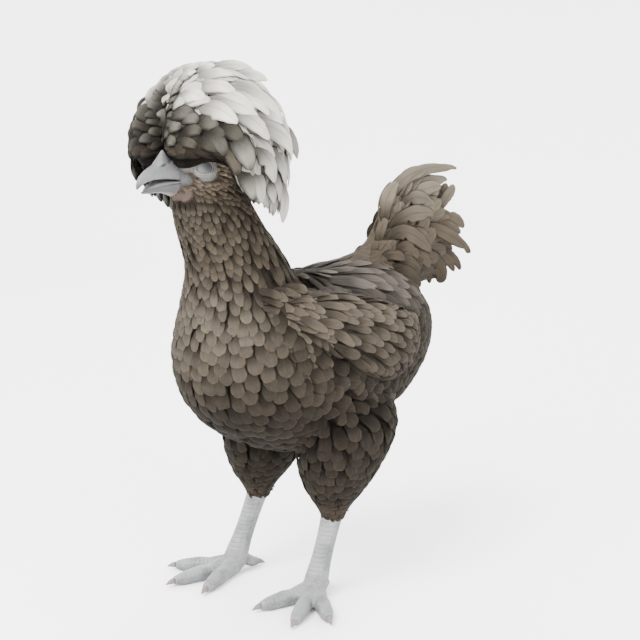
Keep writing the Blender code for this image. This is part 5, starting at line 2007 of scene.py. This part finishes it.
    def by_hand(self, side: Side, rng: np.random.Generator) -> Vanes:
        """The feathers laid one by one on a side, each a curve through three places.

        Args:
            side: the side.
            rng: the source of small differences.

        Returns:
            The feathers.
        """
        rows = np.array(self.laid, float)
        rows[:, :6] += rng.normal(0, 0.4 if side is Side.LEFT else 1.2, (len(rows), 6))
        if side is Side.RIGHT:
            rows[:, (0, 2, 4)] += 5.0 * (rows[:, 8:9] > 30) * (rows[:, 3:4] > 270)
            rows[:, 7] = np.where(rows[:, 8] > 30, 0.5 * rows[:, 7], rows[:, 7])
        out = rows[:, 7] / 1000
        spots = [np.stack((0 * out, rows[:, k] / 1000, rows[:, k + 1] / 1000), 1) for k in (0, 2, 4)]
        flat = along_curve(*spots, 6)
        tilt = np.radians(rows[:, 8])[:, None]
        slope = np.arctan2(np.gradient(flat[..., 2], axis=1), np.gradient(flat[..., 1], axis=1))
        raised = np.array((-0.0030, -0.0010, 0.0004, 0.0014, 0.0018, 0.0018))
        x = out[:, None] * np.array((0.8, 0.95, 1, 1, 1, 1)) + raised * np.cos(tilt)
        across, over = np.cos(tilt) + 0 * slope, np.sin(tilt) + 0 * slope
        y = flat[..., 1] - raised * over * np.sin(slope)
        z = flat[..., 2] + raised * over * np.cos(slope)
        paths = np.stack((side.value * x, y, z), -1) - PLACE
        ups = np.stack((side.value * across, -over * np.sin(slope), over * np.cos(slope)), -1)
        tints = self.tint(z) * rng.normal(1, 0.07, (len(rows), 1, 1))
        unwrap = np.stack((0.5 + side.value * (0.02 + 0.0018 * (rows[:, 4] - 80)), (rows[:, 5] - 220) / 130), 1)
        return Vanes(paths, ups, rows[:, 6] / 1000, tints, unwrap)

    def on_rise(self, s: Array, turn: Array) -> tuple[Array, Array]:
        """Places and normals on the slope from the back up to the tail.

        Each section across its middle line is an oval.

        Args:
            s: shares of the way up.
            turn: angles round it, from the top, in radians.

        Returns:
            Places and normals.
        """
        s, turn = np.broadcast_arrays(s, turn)
        rows = np.array(self.rise, float) / 1000
        here = spline_at(rows, s.ravel()).reshape(*s.shape, 4)
        ahead = spline_at(rows, (s + 0.01).ravel()) - spline_at(rows, (s - 0.01).ravel())
        way = unit(ahead.reshape(*s.shape, 4)[..., :2])
        over = np.stack((0 * s, -way[..., 1], way[..., 0]), -1)
        side = np.array((1.0, 0, 0))
        place = np.stack((0 * s, here[..., 0], here[..., 1]), -1) - PLACE
        wide, tall = here[..., 2:3], here[..., 3:4]
        sin, cos = np.sin(turn)[..., None], np.cos(turn)[..., None]
        return place + side * wide * sin + over * tall * cos, unit(side * sin / wide + over * cos / tall)

    def slope(self, finish: bpy.types.Material, rng: np.random.Generator) -> Vanes:
        """The slope's closed form, and its feathers in rows like tiles.

        Args:
            finish: the form's material.
            rng: the source of small differences.

        Returns:
            The feathers.
        """
        around = np.linspace(0, 2 * math.pi, 40, endpoint=False)
        rings = self.on_rise(np.linspace(0, 1, 24)[:, None], around[None])[0]
        made = hand_over(loft("tail_rise", rings), finish, "tail")
        # The form takes 0.4 of the tail's colour: painted shade that shows between its feathers.
        set_tint(made, self.tint(points_of(made.data)[:, 2]) * 0.4)
        row, col = [v.ravel() for v in np.meshgrid(np.arange(11), np.arange(-5, 6), indexing="ij")]
        s = -0.05 + 0.082 * row + rng.normal(0, 0.010, len(row))
        turn = np.radians(20 * (col + 0.5 * (row % 2)) + rng.normal(0, 3.5, len(row)))
        steps = np.linspace(0, 1, 6)[None]
        at = s[:, None] + rng.uniform(0.24, 0.31, (len(row), 1)) * steps
        place, normal = self.on_rise(at, turn[:, None] * (1 + 0.12 * steps))
        raised = np.array((-0.0020, -0.0004, 0.0010, 0.0020, 0.0027, 0.0030))[None, :, None]
        paths = place + normal * (raised + 0.0030 * np.maximum(at - 0.98, 0)[..., None])
        tints = self.tint(paths[..., 2]) * rng.normal(1, 0.07, (len(row), 1, 1))
        unwrap = np.stack((0.5 + 0.07 * turn, 0.02 + 0.10 * s), 1)
        return Vanes(paths, normal, np.interp(s, (0, 1), (0.0105, 0.0070)), tints, unwrap)

    def tint(self, level: Array) -> Array:
        """The tail's colour at each height: light at the top, brown-grey below."""
        rows = np.stack((paint(96, 88, 77), paint(118, 109, 97), paint(132, 123, 110), paint(156, 147, 134)))
        return np.stack([np.interp(level, (0.240, 0.265, 0.290, 0.325), rows[:, k]) for k in range(3)], -1)

    def wrap(self, s: Array) -> Array:
        """How far feathers that end at share s turn round the fan's edges: less toward its rim."""
        return 1 - 0.6 * smooth(s, 0.75, 1.0)

    def build(self, finish: bpy.types.Material, core: bpy.types.Material) -> list[bpy.types.Object]:
        """The tail's feathers in one piece.

        Args:
            finish: the feathers' material.
            core: for the form under the slope's feathers.

        Returns:
            The feathers' piece, in a list.
        """
        batch = self.slope(core, np.random.default_rng(77))
        for side in Side:
            rng = np.random.default_rng(71 + side.value)
            for count, out, short in ((9, 0.0014, 0.86), (9, 0.0030, 0.80)):
                f = (np.arange(count) + (0.0 if short == 0.86 else 0.5)) / (count - 0.5)
                s = short * rng.uniform(0.92, 1.0, count)
                long = self.vanes(side, f, s, np.full(count, 0.11), np.full(count, 0.0185),
                                  out + 0.0007 * (np.arange(count) % 2), rng)
                batch = batch.join(long)
            f, s = rng.random(4000), rng.uniform(0.13, 0.66, 4000)
            found = self.read(f, s)
            points = np.stack((0 * f, found[:, 0], found[:, 1]), 1)
            lie = np.stack((0 * f, np.cos(found[:, 2]), np.sin(found[:, 2])), 1)
            gap, reach = np.interp(s, (0.13, 0.45, 1), (0.0088, 0.0122, 0.0135)), np.full(4000, 1.65)
            kept = spread(points, gap, lie, reach)
            f, s, gap = f[kept], s[kept], gap[kept]
            out = 0.0035 + 0.0160 * (1 - s) ** 1.1
            more = self.vanes(side, f, s, gap * 4.3 * rng.uniform(0.9, 1.1, len(f)),
                              gap * 1.5 * rng.uniform(0.9, 1.1, len(f)), out, rng)
            batch = batch.join(more).join(self.by_hand(side, rng))
        shape = VaneShape(rows_low=10, rows_tip=9, cols=9, widest=0.66, root_share=0.4, power=0.52,
                          camber=0.20, ragged=0.04, split=0.05)
        made = dress("tail_feathers", batch, shape, finish, "tail", 72)
        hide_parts("tail")
        return [made]


# Head


@dataclass
class Head:
    """The bill with its nostrils, the tongue, and the eyes in their lids."""

    nodes: dict
    nostril: tuple = (0.0078, -0.1215, 0.3500)
    mouth_rows: tuple = (
        (-0.1030, 0.3384, 0.0124, 0.0008, 0.0012), (-0.1120, 0.3382, 0.0115, 0.0009, 0.0016),
        (-0.1190, 0.3376, 0.0094, 0.0015, 0.0020), (-0.1260, 0.3362, 0.0066, 0.0018, 0.0020),
        (-0.1310, 0.3346, 0.0045, 0.0013, 0.0014), (-0.1352, 0.3330, 0.0014, 0.0004, 0.0006),
    )
    opening: tuple = (0.0067, 0.0048, 0.0037)

    def horn(self, name: str, voxel: float, finish: bpy.types.Material, slot: str) -> bpy.types.Object:
        """A fine copy of one horn node, with the nostrils' slits and mounds where it has them.

        A nostril goes in by a bell over an oval, and stands proud by a wider bell round it.

        Args:
            name: the node's name.
            voxel: the size of the copy's faces.
            finish: its material.
            slot: the record's slot.

        Returns:
            The piece.
        """
        made = fused(f"{name}_fine", [self.nodes[name]], voxel, 5)
        points, normals = points_of(made.data), normals_of(made.data)
        points = points - normals * (0.0009 * smooth(hip_y(points), -0.1128, -0.1096))[:, None]
        off = points + PLACE - self.nostril
        off[:, 0] = np.abs(points[:, 0] + PLACE[0]) - self.nostril[0]
        along = off[:, 1] * 0.93 + off[:, 2] * 0.36
        over = -off[:, 1] * 0.36 + off[:, 2] * 0.93
        slit = np.exp(-((along / 0.0021) ** 2) - (over / 0.00075) ** 2) * (np.abs(off[:, 0]) < 0.006)
        mound = np.exp(-((along / 0.0042) ** 2) - ((over - 0.0006) / 0.0026) ** 2)
        mound = mound * (np.abs(off[:, 0]) < 0.006)
        move_points(made.data, points + normals * (0.0006 * mound - 0.0016 * slit)[:, None])
        # Painted shade in the nostrils' slits.
        tint = bare_tint(points) * (1 - 0.75 * np.clip(slit * 1.3, 0, 1))[:, None]
        set_tint(made, tint)
        return hand_over(made, finish, slot, name)

    def mouth(self, finish: bpy.types.Material) -> bpy.types.Object:
        """The tongue and the lower bill's inner rim as one closed body between the bills.

        Each ring is an oval round its station, squared a little toward the bill's edges.

        Args:
            finish: its material.

        Returns:
            The piece.
        """
        t = np.linspace(0, 1, 30)
        rows = spline_at(np.array(self.mouth_rows), t)
        a = np.linspace(0, 2 * math.pi, 32, endpoint=False)
        wide = np.sign(np.cos(a)) * np.abs(np.cos(a)) ** 0.7
        high = np.sign(np.sin(a)) * np.abs(np.sin(a)) ** 0.8
        tall = np.where(high > 0, rows[:, 3:4], rows[:, 4:5])
        rings = np.stack((rows[:, 2:3] * wide, rows[:, :1] + 0 * wide, rows[:, 1:2] + tall * high), -1) - PLACE
        made = loft("tongue_and_rim", rings)
        set_tint(made, np.tile(paint(146, 146, 147), (len(made.data.vertices), 1)))
        return hand_over(made, finish, "tongue", "tongue")

    def eyeball(self, side: Side, finish: bpy.types.Material) -> bpy.types.Object:
        """A ball whose rings run round its line of sight, coloured by their distance from it.

        Args:
            side: the side of the head.
            finish: its material.

        Returns:
            The piece.
        """
        middle, out, back, up = eye_frame(side)
        t = np.linspace(0.02, math.pi - 0.02, 40)
        a = np.linspace(0, 2 * math.pi, 48, endpoint=False)
        bulge = 1 + 0.03 * smooth(t, 0.75, 0.2)
        ways = (
            np.cos(t)[:, None, None] * out
            + np.sin(t)[:, None, None] * (np.cos(a)[None, :, None] * back + np.sin(a)[None, :, None] * up)
        )
        made = loft(f"eye_ball_{side.word}", middle + EYE_RADIUS * bulge[:, None, None] * ways)
        off = unit(points_of(made.data) - middle)
        turn = np.degrees(np.arccos(np.clip(off @ out, -1, 1)))
        values = np.interp(turn, (0, 16, 30, 37, 41, 46, 60), (138, 144, 158, 160, 132, 164, 158))
        tint = np.stack([paint(v, v, v - 1) for v in values])
        # Painted light: the ball is lighter toward the front.
        tint = tint * (1.05 + 0.65 * smooth(-(off @ back), -0.3, 0.6))[:, None]
        set_tint(made, tint)
        return hand_over(made, finish, "eyes", f"eye_{side.word}")

    def lids(self, side: Side, tree: BVHTree, finish: bpy.types.Material) -> bpy.types.Object:
        """The lids and the bare skin round an eye, one closed shell over the ball and the face.

        It is a height along the line of sight over the plane across it. From the opening on it
        follows a ball a little larger than the eye, then a level over the face, blended by the
        log of a sum of powers, and it sinks into the face at its rim. A bell makes the lids' fold.

        Args:
            side: the side of the head.
            tree: the skin.
            finish: its material.

        Returns:
            The piece.
        """
        middle, out, back, up = eye_frame(side)
        a = np.linspace(0, 2 * math.pi, 72, endpoint=False)
        wide, top, low = self.opening
        inner = 1 / np.hypot(np.cos(a) / wide, np.sin(a) / np.where(np.sin(a) > 0, top, low))
        outer = np.interp(np.degrees(a), (0, 30, 60, 90, 120, 150, 180, 270, 360),
                          (102, 99, 90, 86, 92, 102, 108, 104, 102)) / 1e4
        ways = np.cos(a)[:, None] * back + np.sin(a)[:, None] * up
        edge = middle + outer[:, None] * ways
        hits = [tree.ray_cast(Vector(q + 0.03 * out), Vector(-out), 0.06)[3] for q in edge]
        level = np.array([0.03 - h if h is not None and h < 0.030 else 0.0010 for h in hits])
        s = np.linspace(0, 1, 18)[:, None]
        far = inner + (outer - inner) * s**1.2
        ball = np.sqrt(np.maximum((EYE_RADIUS + 0.0007) ** 2 - far**2, 0))
        face = level - 0.0004 + 0.0009 * (1 - s**3)
        height = face + 0.0006 * np.log1p(np.exp(np.clip((ball - face) / 0.0006, -30, 30)))
        fold = np.exp(-(((far - inner - 0.0014) / 0.0004) ** 2))
        height = height - 0.0004 * fold - 0.0008 * smooth(s, 0.90, 1.0) - 0.0004 * smooth(s, 0.06, 0.0)
        below = np.array((0.9, 0.5, 0.0))[:, None]
        under = np.interp(below[:, 0], s[:, 0], np.arange(18)).astype(int)
        far = np.concatenate((far, far[under] - 0.0002))
        height = np.concatenate((height, height[under] - 0.0018))
        points = (middle + far[..., None] * ways + height[..., None] * out).reshape(-1, 3)
        r, c = np.arange(21)[:, None], np.arange(72)[None]
        n, d = (r + 1) % 21, (c + 1) % 72
        quads = np.stack((r * 72 + c, r * 72 + d, n * 72 + d, n * 72 + c), -1).reshape(-1, 4)
        made = face_outward(surface(f"lids_{side.word}", points, [quads]))
        # Painted shade in the lids' fold.
        dark = np.concatenate((1 - 0.30 * fold, np.ones((3, 72)))).reshape(-1, 1)
        set_tint(made, bare_tint(points) * dark)
        return hand_over(made, finish, "head")

    def build(self, tree: BVHTree, horn: bpy.types.Material, gloss: bpy.types.Material,
              hide: bpy.types.Material) -> None:
        """The head's hard parts, eyes and lids.

        Args:
            tree: the skin.
            horn: for the bill and tongue.
            gloss: for the eyeballs.
            hide: for the lids.
        """
        self.horn("bill_upper", 0.0005, horn, "bill")
        self.horn("bill_lower", 0.0005, horn, "bill")
        self.mouth(horn)
        for side in Side:
            self.eyeball(side, gloss)
            self.lids(side, tree, hide)
        log.info("head: bill, tongue, eyes and lids")


# Feet


@dataclass
class Foot:
    """A bare leg with its toes, and its claws."""

    nodes: dict
    side: Side
    sole: tuple

    def build(self, scales: bpy.types.Material, horn: bpy.types.Material) -> None:
        """The leg in fine faces, with its way along and facing in a map, and the claws.

        Args:
            scales: for the leg.
            horn: for the claws.
        """
        word = self.side.word
        leg = fused(f"leg_{word}", [self.nodes[f"shank_{word}"]], 0.0010, 5)
        points, normals = points_of(leg.data), normals_of(leg.data)
        middle = np.array((self.sole[0], self.sole[1], 0)) - PLACE
        out = np.linalg.norm((points - middle)[:, :2], axis=1)
        high = smooth(points[:, 2], 0.014, 0.022)
        along = (0.10 - out) * (1 - high) + (0.10 + points[:, 2]) * high
        facing = np.clip(normals[:, 2], 0, 1) * (1 - high) + np.clip(-normals[:, 1], 0, 1) * high
        wave = (along / SCUTE_PITCH) % 1
        groove = smooth(np.abs(2 * wave - 1), 0.70, 1.0) * smooth(facing, 0.35, 0.6)
        set_map(leg, VANE_MAP, np.stack((facing, along), 1))
        move_points(leg.data, points - normals * (0.00012 * groove)[:, None])
        hand_over(leg, scales, "feet", f"shank_{word}")
        for toe in ("inner", "middle", "outer", "hind"):
            name = f"claw_{word}_{toe}"
            claw = fused(f"{name}_fine", [self.nodes[name]], 0.0004, 3)
            set_tint(claw, np.tile(paint(184, 172, 166), (len(claw.data.vertices), 1)))
            hand_over(claw, horn, "claws", name)
        log.info("foot %s: %d faces", word, len(leg.data.polygons))


# Stage


@dataclass
class Studio:
    """Floor, soft light and camera."""

    target: tuple = (0.0396, -0.0380, 0.228)
    place: tuple = (0.6447, -0.6284, 0.3801)
    view: float = 32.4

    def build(self) -> None:
        """Makes the round pale stage, three soft lights, the sky and the camera."""
        bend = np.linspace(0, 0.5 * math.pi, 24)
        radius = np.concatenate((np.linspace(0.01, 1.8, 10), 1.9 + 0.7 * np.sin(bend), [2.6, 2.6]))
        height = np.concatenate((np.zeros(10), 0.7 * (1 - np.cos(bend)), [1.4, 2.2]))
        a = np.linspace(0, 2 * math.pi, 96, endpoint=False)
        flat = radius[:, None, None] * np.stack((np.cos(a), np.sin(a)), -1)
        rings = np.concatenate((flat, np.repeat(height[:, None, None], 96, 1)), -1)
        faces = [grid_faces(len(radius), 96, True), np.arange(96)[None, ::-1]]
        floor = surface("stage_floor", rings.reshape(-1, 3), faces)
        finish, _, shader = new_material("stage_white")
        shader.inputs["Base Color"].default_value = (0.94, 0.94, 0.94, 1)
        shader.inputs["Roughness"].default_value = 0.9
        shader.inputs["Specular IOR Level"].default_value = 0.1
        floor.data.materials.append(finish)
        for name, place, size, power in (
            ("key", (0.2, -1.5, 2.0), 1.3, 160.0),
            ("fill", (1.8, -0.3, 0.9), 1.6, 28.0),
            ("back", (-0.9, 1.4, 1.8), 1.4, 70.0),
        ):
            lamp = bpy.data.lights.new(name, "AREA")
            lamp.energy = power
            lamp.size = size
            obj = bpy.data.objects.new(name, lamp)
            obj.location = place
            obj.rotation_euler = (Vector((0, 0, 0.2)) - Vector(place)).to_track_quat("-Z", "Y").to_euler()
            bpy.context.scene.collection.objects.link(obj)
        world = bpy.data.worlds.new("sky")
        world.use_nodes = True
        world.node_tree.nodes["Background"].inputs[0].default_value = (1, 1, 1, 1)
        world.node_tree.nodes["Background"].inputs[1].default_value = 2.5
        bpy.context.scene.world = world
        camera = bpy.data.cameras.new("camera")
        camera.sensor_width = 36
        camera.lens = 18 / math.tan(math.radians(self.view / 2))
        obj = bpy.data.objects.new("camera", camera)
        obj.location = self.place
        obj.rotation_euler = (Vector(self.target) - Vector(self.place)).to_track_quat("-Z", "Y").to_euler()
        bpy.context.scene.collection.objects.link(obj)
        bpy.context.scene.camera = obj


def clear_scene() -> None:
    """Removes what the startup file holds."""
    for obj in list(bpy.data.objects):
        bpy.data.objects.remove(obj, do_unlink=True)


def main() -> None:
    """Builds the hen piece by piece."""
    logging.basicConfig(level=logging.INFO, format="%(message)s")
    clear_scene()
    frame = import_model()
    nodes = frame["nodes"]
    CAD_NODES.update(obj.name for obj in nodes.values())
    feather, mottle, scute = feather_group(), mottle_group(), scute_group()
    plain = FeatherFinish("feather_taupe").build(feather)
    cream = FeatherFinish("feather_cream", root=0.60, rim=0.03, barbs=0.26, shaft=-0.12, fine=50,
                          dark=0.30, outline=0.42).build(feather)
    brown = FeatherFinish("feather_brown", root=0.78, rim=-0.45, barbs=0.60, shaft=0.10, fine=28,
                          dark=0.34, outline=0.85).build(feather)
    broad = FeatherFinish("feather_tail", root=0.60, rim=0.12, barbs=0.34, shaft=-0.18, fine=80,
                          dark=0.20, outline=0.40).build(feather)
    tiny = FeatherFinish("feather_face", root=0.50, rim=0.15, barbs=0.3, shaft=0.1, fine=20,
                         outline=0.3).build(feather)
    hide = TintedFinish("hide", roughness=0.85, shine=0.04, relief=0.0005).build(mottle)
    horn = TintedFinish("horn", size=160, pores=1400, roughness=0.48, relief=0.0001,
                        subsurface=0.05, shine=0.3).build(mottle)
    gloss = TintedFinish("eye_gloss", size=300, roughness=0.42, relief=0.00002, blotch=0.06,
                         shine=0.25).build(mottle)
    scales = ScuteFinish("leg_scales", (197, 198, 199), (108, 110, 114)).build(scute)
    body = Body(nodes, [Wing(side) for side in Side])
    body.build_skin(hide)
    finishes = {region: plain for region in Region}
    finishes[Region.FACE] = tiny
    body.coat(finishes)
    for wing in body.wings:
        wing.long_feathers(body.tree, plain)
        wing.shoulder(body.tree, plain)
    Crest().build(cream, brown, hide)
    Tail().build(broad, hide)
    Head(nodes).build(body.tree, horn, gloss, hide)
    Foot(nodes, Side.LEFT, (0.0362, -0.0045)).build(scales, horn)
    Foot(nodes, Side.RIGHT, (-0.0500, -0.0175)).build(scales, horn)
    Studio().build()


if __name__ == "__main__":
    main()
